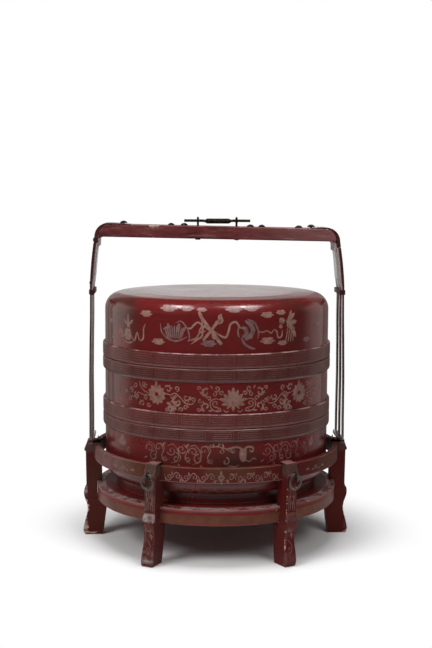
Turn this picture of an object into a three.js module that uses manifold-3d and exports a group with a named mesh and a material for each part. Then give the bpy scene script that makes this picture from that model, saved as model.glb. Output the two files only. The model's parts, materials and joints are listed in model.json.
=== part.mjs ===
// A lacquered wedding basket: two stacked round trays and a domed lid, standing in a six-legged
// ring stand with a tall fixed handle.
// Millimetres, +Z up, the front is -Y, and the origin is on the floor at the middle of the stand.

import * as THREE from "three";
import { mergeVertices } from "three/addons/utils/BufferGeometryUtils.js";
import Module from "manifold-3d";

const wasm = await Module();
wasm.setup();

// How finely round things are cut, and the play between pieces that touch
const ROUND_STEPS = 72;
const CORNER_STEPS = 6;
const WIRE_SIDES = 8;
const PLAY = 0.3;
const EDGE_CHAMFER = 0.8;
const WELD_DISTANCE = 1e-4;

// Round box: the wall radius and wall thicknesses are shared by the trays and the lid
const BOX_RADIUS = 200;
const WALL_THICKNESS = 7;
const FLOOR_THICKNESS = 6;
const LIP_HEIGHT = 6;
const LIP_THICKNESS = 3.5;
const LIP_PLAY = 0.5;
const FOOT_SETBACK = 20;
const FOOT_THICKNESS = 8;
const FOOT_HEIGHT = 18.7;
const LOWER_TRAY_HEIGHT = 113;
const MIDDLE_TRAY_HEIGHT = 99.7;
const LID_HEIGHT = 113.7;
const LID_SHOULDER_RADIUS = 28;

// Wooden bands around the seams
const BAND_THICKNESS = 3.7;
const BAND_CHAMFER = 2.4;
const UPPER_BAND_HEIGHT = 25;
const LOWER_BAND_HEIGHT = 23;

// Stand: the hoop goes round the box with a gap, and the base ring is set back under the hoop
const BASE_RING_BOTTOM = 71.3;
const BASE_RING_HEIGHT = 27.7;
const BASE_RING_SETBACK = 4;
const BASE_RING_WIDTH = 26;
const BOARD_SEAT = 11;
const BOARD_THICKNESS = 12.4;
const HOOP_BOTTOM = 144;
const HOOP_HEIGHT = 26;
const HOOP_GAP = 11;
const HOOP_THICKNESS = 9;

// Legs: depths are measured outwards from the face that meets the hoop, and setbacks inwards
const LEG_WIDTH = 20;
const LEG_DEPTH = 15.6;
const LEG_HEAD_RISE = 4;
const LEG_HEAD_HEIGHT = 20;
const LEG_HEAD_WIDTH = 23.4;
const LEG_HEAD_TOP_DEPTH = 12.5;
const LEG_HEAD_LIP_DEPTH = 18.4;
const LEG_HEAD_LIP_HEIGHT = 3;
const LEG_CALF_LENGTH = 26;
const LEG_KNEE_RISE = 0.7;
const LEG_KNEE_DEPTH = 18.7;
const LEG_WAIST_HEIGHT = 45;
const LEG_WAIST_DEPTH = 12.7;
const LEG_TOE_HEIGHT = 9;
const LEG_TOE_DEPTH = 20.7;
const LEG_TOE_ROUNDING = 2;
const LEG_HEEL_SETBACK = 14.3;
const LEG_INSTEP_SETBACK = 22.6;
const LEG_SHELF_SETBACK = 12.8;

// Hanging rings on the front and back legs
const RING_RADIUS = 11.3;
const RING_WIRE_RADIUS = 1.7;
const RING_EYE_RISE = 3.3;
const RING_EYE_PLAY = 0.7;
const RING_EYE_WIRE_RADIUS = 1.3;
const RING_EYE_STEM_LENGTH = 12;

// Handle
const BAR_TOP = 560;
const BAR_THICKNESS = 22.4;
const BAR_DEPTH = 62;
const BAR_HALF_LENGTH = 218.5;
const BAR_CORNER_RADIUS = 28;
const BAR_KNEE_DROP = 12;
const BAR_KNEE_FILLET = 10;
const PLANK_LENGTH = 76.3;
const PLANK_THICKNESS = 8;
const PLANK_BOTTOM_WIDTH = 69;
const PLANK_SPLAY = 7;
const COLLAR_HEIGHT = 9;
const COLLAR_THICKNESS = 9.5;
const COLLAR_OVERHANG = 2;
const COLLAR_STAND_OUT = 1.2;
const ROD_THICKNESS = 3.8;
const ROD_WIDTH = 6.5;
const ROD_TOP_MARGIN = 1.75;
const ROD_BOTTOM_MARGIN = 1.75;
const ROD_TOP_SETBACK = 0.4;
const ROD_BOTTOM_SETBACK = 1;
const FOOT_RAIL_HEIGHT = 7;
const FOOT_RAIL_THICKNESS = 8;
const FOOT_RAIL_WIDTH = 93;
const FOOT_RAIL_SETBACK = 4.5;

// Swing bail on top of the handle
const BAIL_AXIS_HEIGHT = 9.5;
const BAIL_EYE_SPACING = 69;
const BAIL_WIRE_RADIUS = 2.4;
const BAIL_TIP_LENGTH = 24.5;
const BAIL_KNEE_INSET = 6.5;
const BAIL_ARM_LEAN = 8;
const BAIL_OFFSET = 30;
const BAIL_BEND = 4;
const BAIL_GRIP_RADIUS = 4.5;
const BAIL_SWELL_LENGTH = 6;
const BAIL_STEPS = 64;
const BAIL_EYE_PLAY = 0.9;
const BAIL_EYE_WIRE_RADIUS = 1.9;
const CLINCH_LENGTH = 9;
const CLINCH_WIDTH = 4.4;
const CLINCH_THICKNESS = 1.8;

// Round-headed nails: big ones on top of the bar, and smaller ones in its ends and the planks
const BAR_NAIL = { length: 14, headRadius: 5.4, headHeight: 3.6 };
const SIDE_NAIL = { length: 6.5, headRadius: 4, headHeight: 3 };
const NAIL_SHANK_RADIUS = 1.5;
const BAR_NAIL_PLACES = [52 - BAR_HALF_LENGTH, -82, -59, 59, 80, BAR_HALF_LENGTH - 73, BAR_HALF_LENGTH - 50];
const CORNER_NAIL_RISE = 5.4;
const PLANK_NAIL_RISE = 4.5;

const turn = THREE.MathUtils.degToRad;

// Worked out from the sizes above
const boardTop = BASE_RING_BOTTOM + BASE_RING_HEIGHT;
const lowerTrayBottom = boardTop + PLAY;
const lowerWallBottom = lowerTrayBottom + FOOT_HEIGHT;
const lowerSeam = lowerWallBottom + LOWER_TRAY_HEIGHT;
const middleTrayBottom = lowerSeam + PLAY;
const upperSeam = middleTrayBottom + MIDDLE_TRAY_HEIGHT;
const lidBottom = upperSeam + PLAY;
const lidTop = lidBottom + LID_HEIGHT;
const innerRadius = BOX_RADIUS - WALL_THICKNESS;
const lipRadius = innerRadius + LIP_THICKNESS;
const hoopInnerRadius = BOX_RADIUS + HOOP_GAP;
const hoopRadius = hoopInnerRadius + HOOP_THICKNESS;
const hoopTop = HOOP_BOTTOM + HOOP_HEIGHT;
const baseRingRadius = hoopRadius - BASE_RING_SETBACK;
const baseRingInnerRadius = baseRingRadius - BASE_RING_WIDTH;
const boardRecessRadius = baseRingInnerRadius + BOARD_SEAT;
const legBack = hoopRadius + PLAY;
const legTop = hoopTop + LEG_HEAD_RISE;
const legHeadBottom = legTop - LEG_HEAD_HEIGHT;
const legLipReach = legBack + LEG_HEAD_LIP_DEPTH;
const ringEyeRadius = RING_WIRE_RADIUS + RING_EYE_PLAY + RING_EYE_WIRE_RADIUS;
const ringEyeReach = legLipReach + PLAY + RING_EYE_WIRE_RADIUS + ringEyeRadius;
const ringEyeHeight = legHeadBottom + RING_EYE_RISE;
const barBottom = BAR_TOP - BAR_THICKNESS;
const barEndBottom = barBottom - BAR_KNEE_DROP;
const plankTop = barEndBottom - PLAY;
const plankBottom = plankTop - PLANK_LENGTH;
const plankReach = BAR_HALF_LENGTH + PLANK_SPLAY;
const collarBottom = plankBottom - PLAY - COLLAR_HEIGHT;
const collarWidth = PLANK_BOTTOM_WIDTH + 2 * COLLAR_OVERHANG;
const footRailBottom = legTop + PLAY;
const footRailReach = legBack + LEG_HEAD_TOP_DEPTH - FOOT_RAIL_SETBACK;
const bailAxis = BAR_TOP + BAIL_AXIS_HEIGHT;
const bailEyePlace = BAIL_EYE_SPACING / 2;

const materials = {
  lacquer: new THREE.MeshStandardMaterial({ color: 0x6a2622, roughness: 0.28, metalness: 0 }),
  trim: new THREE.MeshStandardMaterial({ color: 0x54302c, roughness: 0.45, metalness: 0 }),
  stand: new THREE.MeshStandardMaterial({ color: 0x5c2c26, roughness: 0.4, metalness: 0 }),
  handle: new THREE.MeshStandardMaterial({ color: 0x552224, roughness: 0.42, metalness: 0 }),
  iron: new THREE.MeshStandardMaterial({ color: 0x35322e, roughness: 0.55, metalness: 0.8 }),
};

// Merges shared corners and drops the flat triangles that round primitives leave at their poles
function weld(geometry) {
  const bare = geometry.clone();
  bare.deleteAttribute("normal");
  bare.deleteAttribute("uv");
  const welded = mergeVertices(bare, WELD_DISTANCE);
  const corners = welded.index.array;
  const kept = [];
  for (let i = 0; i < corners.length; i += 3) {
    const [a, b, c] = corners.slice(i, i + 3);
    if (a !== b && b !== c && c !== a) kept.push(a, b, c);
  }
  welded.setIndex(kept);
  return welded;
}

function solidOf(geometry) {
  const welded = weld(geometry);
  return new wasm.Manifold(new wasm.Mesh({
    numProp: 3,
    vertProperties: Float32Array.from(welded.attributes.position.array),
    triVerts: Uint32Array.from(welded.index.array),
  }));
}

function geometryOf(solid) {
  const { vertProperties, triVerts } = solid.getMesh();
  const geometry = new THREE.BufferGeometry();
  geometry.setAttribute("position", new THREE.BufferAttribute(vertProperties, 3));
  geometry.setIndex(new THREE.BufferAttribute(triVerts, 1));
  return geometry;
}

function joined(...geometries) {
  return geometryOf(geometries.map(solidOf).reduce((whole, piece) => whole.add(piece)));
}

function cut(geometry, cutters) {
  const start = solidOf(geometry);
  return geometryOf(cutters.map(solidOf).reduce((whole, cutter) => whole.subtract(cutter), start));
}

// A profile of [radius, height] points, listed up the outside, turned around the Z axis
function turned(profile, steps = ROUND_STEPS) {
  const points = profile.map(([radius, height]) => new THREE.Vector2(radius, height));
  return weld(new THREE.LatheGeometry(points, steps).rotateX(Math.PI / 2));
}

function turnedRing(profile) {
  return turned([...profile, profile[0]]);
}

// Points of a round corner about a centre, from one angle to another in degrees
function roundCorner(x, y, radius, fromAngle, toAngle, steps = CORNER_STEPS) {
  const points = [];
  for (let i = 0; i <= steps; i += 1) {
    const angle = turn(fromAngle + ((toAngle - fromAngle) * i) / steps);
    points.push([x + radius * Math.cos(angle), y + radius * Math.sin(angle)]);
  }
  return points;
}

// An outline in X and Z, given a thickness along Y and centred on it
function slab(outline, thickness) {
  const shape = new THREE.Shape(outline.map(([x, z]) => new THREE.Vector2(x, z)));
  const geometry = new THREE.ExtrudeGeometry(shape, { depth: thickness, bevelEnabled: false });
  return geometry.rotateX(Math.PI / 2).translate(0, thickness / 2, 0);
}

// A closed skin over rings of points that all have the same count
function loft(rings) {
  const count = rings[0].length;
  const last = (rings.length - 1) * count;
  const faces = [];
  for (let level = 0; level < rings.length - 1; level += 1) {
    for (let i = 0; i < count; i += 1) {
      const here = level * count + i;
      const next = level * count + ((i + 1) % count);
      faces.push(here, next, next + count, here, next + count, here + count);
    }
  }
  for (let i = 1; i < count - 1; i += 1) {
    faces.push(0, i + 1, i, last, last + i, last + i + 1);
  }
  const geometry = new THREE.BufferGeometry().setFromPoints(rings.flat());
  return geometry.setIndex(faces);
}

// An upright bar between heights: each level gives its centre and its size in X and Y
function upright(levels) {
  return loft(levels.map(({ x, y, z, sizeX, sizeY }) => {
    const [halfX, halfY] = [sizeX / 2, sizeY / 2];
    const [flatX, flatY] = [halfX - EDGE_CHAMFER, halfY - EDGE_CHAMFER];
    const corners = [[halfX, -flatY], [halfX, flatY], [flatX, halfY], [-flatX, halfY],
      [-halfX, flatY], [-halfX, -flatY], [-flatX, -halfY], [flatX, -halfY]];
    return corners.map(([u, v]) => new THREE.Vector3(x + u, y + v, z));
  }));
}

function cylinder(radius, bottom, top, sides = WIRE_SIDES) {
  const geometry = new THREE.CylinderGeometry(radius, radius, top - bottom, sides);
  return geometry.rotateX(Math.PI / 2).translate(0, 0, (top + bottom) / 2);
}

function pieceMesh(name, geometry, material) {
  const mesh = new THREE.Mesh(geometry, material);
  mesh.name = name;
  return mesh;
}

// Trays: a floor, a wall, and a lip that the next piece sits over
function trayProfile({ bottom, top, underside, floorTop }) {
  return [
    ...underside,
    [BOX_RADIUS, bottom],
    [BOX_RADIUS, top],
    [lipRadius, top],
    [lipRadius, top + LIP_HEIGHT],
    [innerRadius, top + LIP_HEIGHT],
    [innerRadius, floorTop],
    [0, floorTop],
  ];
}

function lowerTray() {
  const footRadius = BOX_RADIUS - FOOT_SETBACK;
  const footInner = footRadius - FOOT_THICKNESS;
  const underside = [
    [0, lowerWallBottom],
    [footInner, lowerWallBottom],
    [footInner, lowerTrayBottom],
    [footRadius, lowerTrayBottom],
    [footRadius, lowerWallBottom],
  ];
  const floorTop = lowerWallBottom + FLOOR_THICKNESS;
  return turned(trayProfile({ bottom: lowerWallBottom, top: lowerSeam, underside, floorTop }));
}

function middleTray() {
  const floorBottom = middleTrayBottom + LIP_HEIGHT + LIP_PLAY;
  const underside = [
    [0, floorBottom],
    [lipRadius + LIP_PLAY, floorBottom],
    [lipRadius + LIP_PLAY, middleTrayBottom],
  ];
  const floorTop = floorBottom + FLOOR_THICKNESS;
  return turned(trayProfile({ bottom: middleTrayBottom, top: upperSeam, underside, floorTop }));
}

function lid() {
  const shoulder = BOX_RADIUS - LID_SHOULDER_RADIUS;
  const shoulderHeight = lidTop - LID_SHOULDER_RADIUS;
  const socketTop = lidBottom + LIP_HEIGHT + LIP_PLAY;
  const socketRadius = lipRadius + LIP_PLAY;
  const inside = roundCorner(shoulder, shoulderHeight, LID_SHOULDER_RADIUS - WALL_THICKNESS, 90, 0);
  const outside = roundCorner(shoulder, shoulderHeight, LID_SHOULDER_RADIUS, 0, 90);
  return turned([
    [0, lidTop - WALL_THICKNESS],
    ...inside,
    [innerRadius, socketTop],
    [socketRadius, socketTop],
    [socketRadius, lidBottom],
    [BOX_RADIUS, lidBottom],
    ...outside,
    [0, lidTop],
  ]);
}

// Bands: the upper one of each pair is rounded off above, and the lower one is bevelled below
function band(bottom, top, bevelledBelow) {
  const inner = BOX_RADIUS + PLAY;
  const outer = inner + BAND_THICKNESS;
  const bevelled = outer - BAND_CHAMFER;
  const below = bevelledBelow ? [[bevelled, bottom], [outer, bottom + BAND_CHAMFER]] : [[outer, bottom]];
  const above = bevelledBelow ? [[outer, top]] : [[outer, top - BAND_CHAMFER], [bevelled, top]];
  return turnedRing([[inner, bottom], ...below, ...above, [inner, top]]);
}

// Stand
function baseRing() {
  const ledge = boardTop - BOARD_THICKNESS - PLAY;
  return turnedRing([
    [baseRingInnerRadius, BASE_RING_BOTTOM],
    [baseRingRadius, BASE_RING_BOTTOM],
    [baseRingRadius, boardTop],
    [boardRecessRadius, boardTop],
    [boardRecessRadius, ledge],
    [baseRingInnerRadius, ledge],
  ]);
}

function baseBoard() {
  const radius = boardRecessRadius - PLAY;
  const bottom = boardTop - BOARD_THICKNESS;
  return turned([[0, bottom], [radius, bottom], [radius, boardTop], [0, boardTop]]);
}

function upperHoop() {
  return turnedRing([
    [hoopInnerRadius, HOOP_BOTTOM],
    [hoopRadius, HOOP_BOTTOM],
    [hoopRadius, hoopTop],
    [hoopInnerRadius, hoopTop],
  ]);
}

// The leg's side view: a hooked head over the hoop, a shelf under it, a knee, a waist and a toe
function leg() {
  const shoulder = BASE_RING_BOTTOM - PLAY;
  const kneeHeight = BASE_RING_BOTTOM + LEG_KNEE_RISE;
  const lipTop = legHeadBottom + LEG_HEAD_LIP_HEIGHT;
  const curve = new THREE.SplineCurve([
    new THREE.Vector2(legBack + LEG_TOE_DEPTH - LEG_TOE_ROUNDING, 0),
    new THREE.Vector2(legBack + LEG_TOE_DEPTH, LEG_TOE_HEIGHT),
    new THREE.Vector2(legBack + LEG_WAIST_DEPTH, LEG_WAIST_HEIGHT),
    new THREE.Vector2(legBack + LEG_KNEE_DEPTH, kneeHeight),
    new THREE.Vector2(legBack + LEG_DEPTH, kneeHeight + LEG_CALF_LENGTH),
  ]);
  const face = curve.getPoints(4 * CORNER_STEPS).map((point) => [point.x, point.y]);
  const hook = [
    [legBack + LEG_HEAD_TOP_DEPTH, legTop],
    [legBack - HOOP_THICKNESS, legTop],
    [legBack - HOOP_THICKNESS, hoopTop + PLAY],
    [legBack, hoopTop + PLAY],
  ];
  const shaft = [
    [legBack - LEG_HEEL_SETBACK, 0],
    ...face,
    [legBack + LEG_DEPTH, legHeadBottom],
    [legBack + LEG_HEAD_TOP_DEPTH, lipTop],
    ...hook,
    [legBack, HOOP_BOTTOM - PLAY],
    [legBack - LEG_SHELF_SETBACK, HOOP_BOTTOM - PLAY],
    [legBack - LEG_SHELF_SETBACK, boardTop + PLAY],
    [legBack, boardTop + PLAY],
    [legBack, shoulder],
    [legBack - LEG_INSTEP_SETBACK, shoulder],
    [legBack - LEG_INSTEP_SETBACK, LEG_WAIST_HEIGHT],
  ];
  const head = [
    [legBack, legHeadBottom],
    [legBack + LEG_DEPTH, legHeadBottom],
    [legLipReach, lipTop],
    ...hook,
  ];
  return joined(slab(shaft, LEG_WIDTH), slab(head, LEG_HEAD_WIDTH));
}

function ringEyeStem(radius) {
  const start = legLipReach - RING_EYE_STEM_LENGTH;
  const end = ringEyeReach - ringEyeRadius + RING_EYE_WIRE_RADIUS / 2;
  return cylinder(radius, start, end).rotateY(Math.PI / 2).translate(0, 0, ringEyeHeight);
}

function ringEye() {
  const loop = new THREE.TorusGeometry(ringEyeRadius, RING_EYE_WIRE_RADIUS, WIRE_SIDES, 3 * WIRE_SIDES)
    .rotateX(Math.PI / 2)
    .translate(ringEyeReach, 0, ringEyeHeight);
  return joined(loop, ringEyeStem(RING_EYE_WIRE_RADIUS));
}

function hangingRing() {
  return weld(new THREE.TorusGeometry(RING_RADIUS, RING_WIRE_RADIUS, WIRE_SIDES, 4 * WIRE_SIDES)
    .rotateY(Math.PI / 2)
    .translate(ringEyeReach, 0, ringEyeHeight - RING_RADIUS));
}

// Handle
function nail({ length, headRadius, headHeight }) {
  const head = roundCorner(0, 0, 1, 0, 90).map(([x, z]) => [x * headRadius, z * headHeight + PLAY]);
  const shank = [[0, -length], [NAIL_SHANK_RADIUS, -length], [NAIL_SHANK_RADIUS, PLAY]];
  return turned([...shank, ...head], 2 * WIRE_SIDES);
}

function nailHole({ length, headHeight }) {
  return cylinder(NAIL_SHANK_RADIUS + PLAY, -length - PLAY, headHeight, 2 * WIRE_SIDES);
}

function onBarTop(geometry, x) {
  return geometry.translate(x, 0, BAR_TOP);
}

function onSide(geometry, side, reach, height) {
  return geometry.rotateY((side * Math.PI) / 2).translate(side * reach, 0, height);
}

function onBarEnd(geometry, side) {
  return onSide(geometry, side, BAR_HALF_LENGTH, barEndBottom + CORNER_NAIL_RISE);
}

function onPlankEnd(geometry, side) {
  return onSide(geometry, side, plankReach, plankBottom + PLANK_NAIL_RISE);
}

function handleBar() {
  const outer = BAR_HALF_LENGTH;
  const corner = outer - BAR_CORNER_RADIUS;
  const inner = outer - PLANK_THICKNESS;
  const fillet = inner - BAR_KNEE_FILLET;
  const outline = [
    [outer, barEndBottom],
    ...roundCorner(corner, BAR_TOP - BAR_CORNER_RADIUS, BAR_CORNER_RADIUS, 0, 90),
    ...roundCorner(-corner, BAR_TOP - BAR_CORNER_RADIUS, BAR_CORNER_RADIUS, 90, 180),
    [-outer, barEndBottom],
    [-inner, barEndBottom],
    ...roundCorner(-fillet, barBottom - BAR_KNEE_FILLET, BAR_KNEE_FILLET, 180, 90),
    ...roundCorner(fillet, barBottom - BAR_KNEE_FILLET, BAR_KNEE_FILLET, 90, 0),
    [inner, barEndBottom],
  ];
  const holes = BAR_NAIL_PLACES.map((x) => onBarTop(nailHole(BAR_NAIL), x));
  for (const side of [-1, 1]) {
    holes.push(bailEyeStem(BAIL_EYE_WIRE_RADIUS + PLAY, side));
    holes.push(onBarEnd(nailHole(SIDE_NAIL), side));
  }
  return cut(slab(outline, BAR_DEPTH), holes);
}

function plank(side) {
  const board = upright([
    {
      x: side * (plankReach - PLANK_THICKNESS / 2),
      y: 0,
      z: plankBottom,
      sizeX: PLANK_THICKNESS,
      sizeY: PLANK_BOTTOM_WIDTH,
    },
    {
      x: side * (BAR_HALF_LENGTH - PLANK_THICKNESS / 2),
      y: 0,
      z: plankTop,
      sizeX: PLANK_THICKNESS,
      sizeY: BAR_DEPTH,
    },
  ]);
  return cut(board, [onPlankEnd(nailHole(SIDE_NAIL), side)]);
}

function crossPiece(side, reach, bottom, height, thickness, width) {
  const place = { x: side * (reach - thickness / 2), y: 0, sizeX: thickness, sizeY: width };
  return upright([{ ...place, z: bottom }, { ...place, z: bottom + height }]);
}

function rod(side, row) {
  const size = { sizeX: ROD_THICKNESS, sizeY: ROD_WIDTH };
  const topSpacing = (collarWidth - ROD_WIDTH) / 2 - ROD_TOP_MARGIN;
  const bottomSpacing = (FOOT_RAIL_WIDTH - ROD_WIDTH) / 2 - ROD_BOTTOM_MARGIN;
  return upright([
    {
      x: side * (footRailReach - ROD_BOTTOM_SETBACK - ROD_THICKNESS / 2),
      y: row * bottomSpacing,
      z: footRailBottom + FOOT_RAIL_HEIGHT + PLAY,
      ...size,
    },
    {
      x: side * (plankReach - ROD_TOP_SETBACK - ROD_THICKNESS / 2),
      y: row * topSpacing,
      z: collarBottom - PLAY,
      ...size,
    },
  ]);
}

function bailEyeStem(radius, side) {
  const bottom = barBottom - PLAY - CLINCH_THICKNESS / 2;
  const top = bailAxis - BAIL_WIRE_RADIUS - BAIL_EYE_PLAY;
  return cylinder(radius, bottom, top).translate(side * bailEyePlace, 0, 0);
}

// An eye goes through the bar, and its end is clinched flat underneath
function bailEye(side) {
  const radius = BAIL_WIRE_RADIUS + BAIL_EYE_PLAY + BAIL_EYE_WIRE_RADIUS;
  const loop = new THREE.TorusGeometry(radius, BAIL_EYE_WIRE_RADIUS, WIRE_SIDES, 3 * WIRE_SIDES)
    .rotateY(Math.PI / 2)
    .translate(side * bailEyePlace, 0, bailAxis);
  const clinch = new THREE.BoxGeometry(CLINCH_LENGTH, CLINCH_WIDTH, CLINCH_THICKNESS)
    .translate(side * bailEyePlace, 0, barBottom - PLAY - CLINCH_THICKNESS / 2);
  return joined(loop, bailEyeStem(BAIL_EYE_WIRE_RADIUS, side), clinch);
}

// A path along straight lines, with each corner rounded off over a length on both sides
function roundedPath(corners, rounding) {
  const towards = (from, to) => from.clone().add(to.clone().sub(from).setLength(rounding));
  const path = new THREE.CurvePath();
  let start = corners[0];
  for (let i = 1; i < corners.length - 1; i += 1) {
    const before = towards(corners[i], corners[i - 1]);
    const after = towards(corners[i], corners[i + 1]);
    path.add(new THREE.LineCurve3(start, before));
    path.add(new THREE.QuadraticBezierCurve3(before, corners[i], after));
    start = after;
  }
  path.add(new THREE.LineCurve3(start, corners[corners.length - 1]));
  return path;
}

// The bail lies forward at rest, level with the holes of its two eyes
function bail() {
  const knee = bailEyePlace - BAIL_KNEE_INSET;
  const tip = bailEyePlace + BAIL_TIP_LENGTH;
  const gripEnd = knee - BAIL_ARM_LEAN;
  const route = roundedPath([
    [-tip, 0], [-knee, 0], [-gripEnd, -BAIL_OFFSET], [gripEnd, -BAIL_OFFSET], [knee, 0], [tip, 0],
  ].map(([x, y]) => new THREE.Vector3(x, y, bailAxis)), BAIL_BEND);
  const rings = [];
  for (let i = 0; i <= BAIL_STEPS; i += 1) {
    const centre = route.getPoint(i / BAIL_STEPS);
    const along = route.getTangent(i / BAIL_STEPS);
    const sideways = new THREE.Vector3(-along.y, along.x, 0);
    const swell = THREE.MathUtils.smoothstep(-centre.y, BAIL_OFFSET - BAIL_SWELL_LENGTH, BAIL_OFFSET);
    const radius = THREE.MathUtils.lerp(BAIL_WIRE_RADIUS, BAIL_GRIP_RADIUS, swell);
    const ring = [];
    for (let k = 0; k < WIRE_SIDES; k += 1) {
      const angle = (2 * Math.PI * k) / WIRE_SIDES;
      const point = centre.clone().addScaledVector(sideways, radius * Math.cos(angle));
      ring.push(point.setZ(bailAxis + radius * Math.sin(angle)));
    }
    rings.push(ring);
  }
  return loft(rings);
}

// Assembly
const basket = new THREE.Group();

function add(name, geometry, material) {
  basket.add(pieceMesh(name, geometry, material));
}

add("lower_tray", lowerTray(), materials.lacquer);
add("lower_tray_rim_band", band(lowerSeam - LOWER_BAND_HEIGHT, lowerSeam, true), materials.trim);
add("middle_tray", middleTray(), materials.lacquer);
add("middle_tray_bottom_band", band(middleTrayBottom, middleTrayBottom + UPPER_BAND_HEIGHT, false),
  materials.trim);
add("middle_tray_rim_band", band(upperSeam - LOWER_BAND_HEIGHT, upperSeam, true), materials.trim);
add("lid", lid(), materials.lacquer);
add("lid_rim_band", band(lidBottom, lidBottom + UPPER_BAND_HEIGHT, false), materials.trim);
add("base_ring", baseRing(), materials.stand);
add("base_board", baseBoard(), materials.stand);
add("upper_hoop", upperHoop(), materials.stand);

const legNames = ["right", "back_right", "back_left", "left", "front_left", "front_right"];
legNames.forEach((name, place) => {
  const station = new THREE.Group();
  station.rotation.z = turn((360 / legNames.length) * place);
  const carriesRing = name !== "left" && name !== "right";
  const shape = carriesRing ? cut(leg(), [ringEyeStem(RING_EYE_WIRE_RADIUS + PLAY)]) : leg();
  station.add(pieceMesh(`leg_${name}`, shape, materials.stand));
  if (carriesRing) {
    station.add(pieceMesh(`ring_eye_${name}`, ringEye(), materials.iron));
    station.add(pieceMesh(`ring_${name}`, hangingRing(), materials.iron));
  }
  basket.add(station);
});

add("handle_bar", handleBar(), materials.handle);
BAR_NAIL_PLACES.forEach((x, place) => {
  add(`bar_nail_${place + 1}`, onBarTop(nail(BAR_NAIL), x), materials.iron);
});

for (const [name, side] of [["left", -1], ["right", 1]]) {
  const collar = crossPiece(side, plankReach + COLLAR_STAND_OUT, collarBottom, COLLAR_HEIGHT,
    COLLAR_THICKNESS, collarWidth);
  const footRail = crossPiece(side, footRailReach, footRailBottom, FOOT_RAIL_HEIGHT,
    FOOT_RAIL_THICKNESS, FOOT_RAIL_WIDTH);
  add(`plank_${name}`, plank(side), materials.handle);
  add(`collar_${name}`, collar, materials.handle);
  add(`foot_rail_${name}`, footRail, materials.handle);
  add(`rod_${name}_front`, rod(side, -1), materials.handle);
  add(`rod_${name}_middle`, rod(side, 0), materials.handle);
  add(`rod_${name}_back`, rod(side, 1), materials.handle);
  add(`corner_nail_${name}`, onBarEnd(nail(SIDE_NAIL), side), materials.iron);
  add(`plank_nail_${name}`, onPlankEnd(nail(SIDE_NAIL), side), materials.iron);
  add(`bail_eye_${name}`, bailEye(side), materials.iron);
}
add("bail", bail(), materials.iron);

export default basket;
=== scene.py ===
"""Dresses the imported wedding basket: lacquered wood, painted ornament, iron fittings and a stage."""

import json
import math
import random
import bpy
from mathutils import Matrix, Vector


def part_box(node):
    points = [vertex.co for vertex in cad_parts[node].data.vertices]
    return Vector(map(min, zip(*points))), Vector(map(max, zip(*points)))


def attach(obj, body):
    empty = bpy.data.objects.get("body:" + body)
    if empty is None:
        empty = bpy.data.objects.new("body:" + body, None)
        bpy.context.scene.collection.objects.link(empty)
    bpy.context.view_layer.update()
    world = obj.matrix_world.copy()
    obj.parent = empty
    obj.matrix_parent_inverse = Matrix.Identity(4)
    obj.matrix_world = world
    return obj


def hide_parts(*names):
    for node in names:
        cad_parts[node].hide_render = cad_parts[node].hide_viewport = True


bl_info = {
    "name": "Lacquered Wedding Basket",
    "version": (1, 0, 0),
    "blender": (4, 5, 0),
    "location": "View3D > Sidebar > Basket",
    "description": "Builds a stacked, lacquered wedding basket in its six-legged stand",
    "category": "Add Mesh",
}

import bmesh
import bpy
from mathutils import Vector, kdtree

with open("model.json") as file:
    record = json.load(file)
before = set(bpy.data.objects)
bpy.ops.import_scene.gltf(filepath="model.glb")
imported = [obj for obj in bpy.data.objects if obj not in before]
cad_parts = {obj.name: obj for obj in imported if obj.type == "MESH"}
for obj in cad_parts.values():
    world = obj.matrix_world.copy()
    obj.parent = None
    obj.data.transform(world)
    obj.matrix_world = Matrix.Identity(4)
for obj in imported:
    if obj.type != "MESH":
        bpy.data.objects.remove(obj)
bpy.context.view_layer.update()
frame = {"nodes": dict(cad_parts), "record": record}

MM = 0.001
UP = Vector((0, 0, 1))
FRONT = -math.pi / 2
LEG_TURNS = {"right": 0, "back_right": 60, "back_left": 120, "left": 180, "front_left": 240, "front_right": 300}
RING_LEGS = ("front_left", "front_right", "back_left", "back_right")
SIDES = {"left": -1, "right": 1}


# Sizes that follow the frame


def low(node):
    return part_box(node)[0]


def high(node):
    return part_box(node)[1]


BOX_RADIUS = high("lid").x
LID_BOTTOM, LID_TOP = low("lid").z, high("lid").z
UPPER_SEAM, LOWER_SEAM = high("middle_tray_rim_band").z, high("lower_tray_rim_band").z
MIDDLE_BOTTOM = low("middle_tray").z
MIDDLE_LIP, LOWER_LIP = high("middle_tray").z, high("lower_tray").z
LOWER_BOTTOM = low("lower_tray").z
LOWER_WALL_BOTTOM = frame["record"]["mounts"][-1]["pos_m"][2] - 6 * MM
HOOP_LOW, HOOP_HIGH = low("upper_hoop").z, high("upper_hoop").z
HOOP_RADIUS = high("upper_hoop").x
RING_LOW, BOARD_TOP = low("base_ring").z, high("base_ring").z
BASE_RADIUS = high("base_ring").x
LEG_TOP = high("leg_right").z
BAR_TOP = high("handle_bar").z
BAR_REACH = high("handle_bar").x
BAR_DEPTH = high("handle_bar").y * 2
BAR_SLOPE = -0.0175
LOW_TURN = 20 * MM


class BasketSizes(bpy.types.PropertyGroup):
    turning_steps: bpy.props.IntProperty(
        name="Turning steps", description="Facets round a turned piece", default=240, min=48, max=360
    )
    wall: bpy.props.FloatProperty(
        name="Wall", description="Thickness of the walls of the lid and the trays", default=7 * MM, unit="LENGTH"
    )
    lip: bpy.props.FloatProperty(
        name="Lip", description="Height of the lip that the next piece sits over", default=6 * MM, unit="LENGTH"
    )
    shoulder: bpy.props.FloatProperty(
        name="Shoulder", description="Radius of the lid's rounded shoulder", default=28 * MM, unit="LENGTH"
    )
    band: bpy.props.FloatProperty(
        name="Band", description="How far the bands stand out from the wall", default=4 * MM, unit="LENGTH"
    )
    edge: bpy.props.FloatProperty(
        name="Edge", description="Radius of the worn edges of the wooden pieces", default=1.2 * MM, unit="LENGTH"
    )


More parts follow.
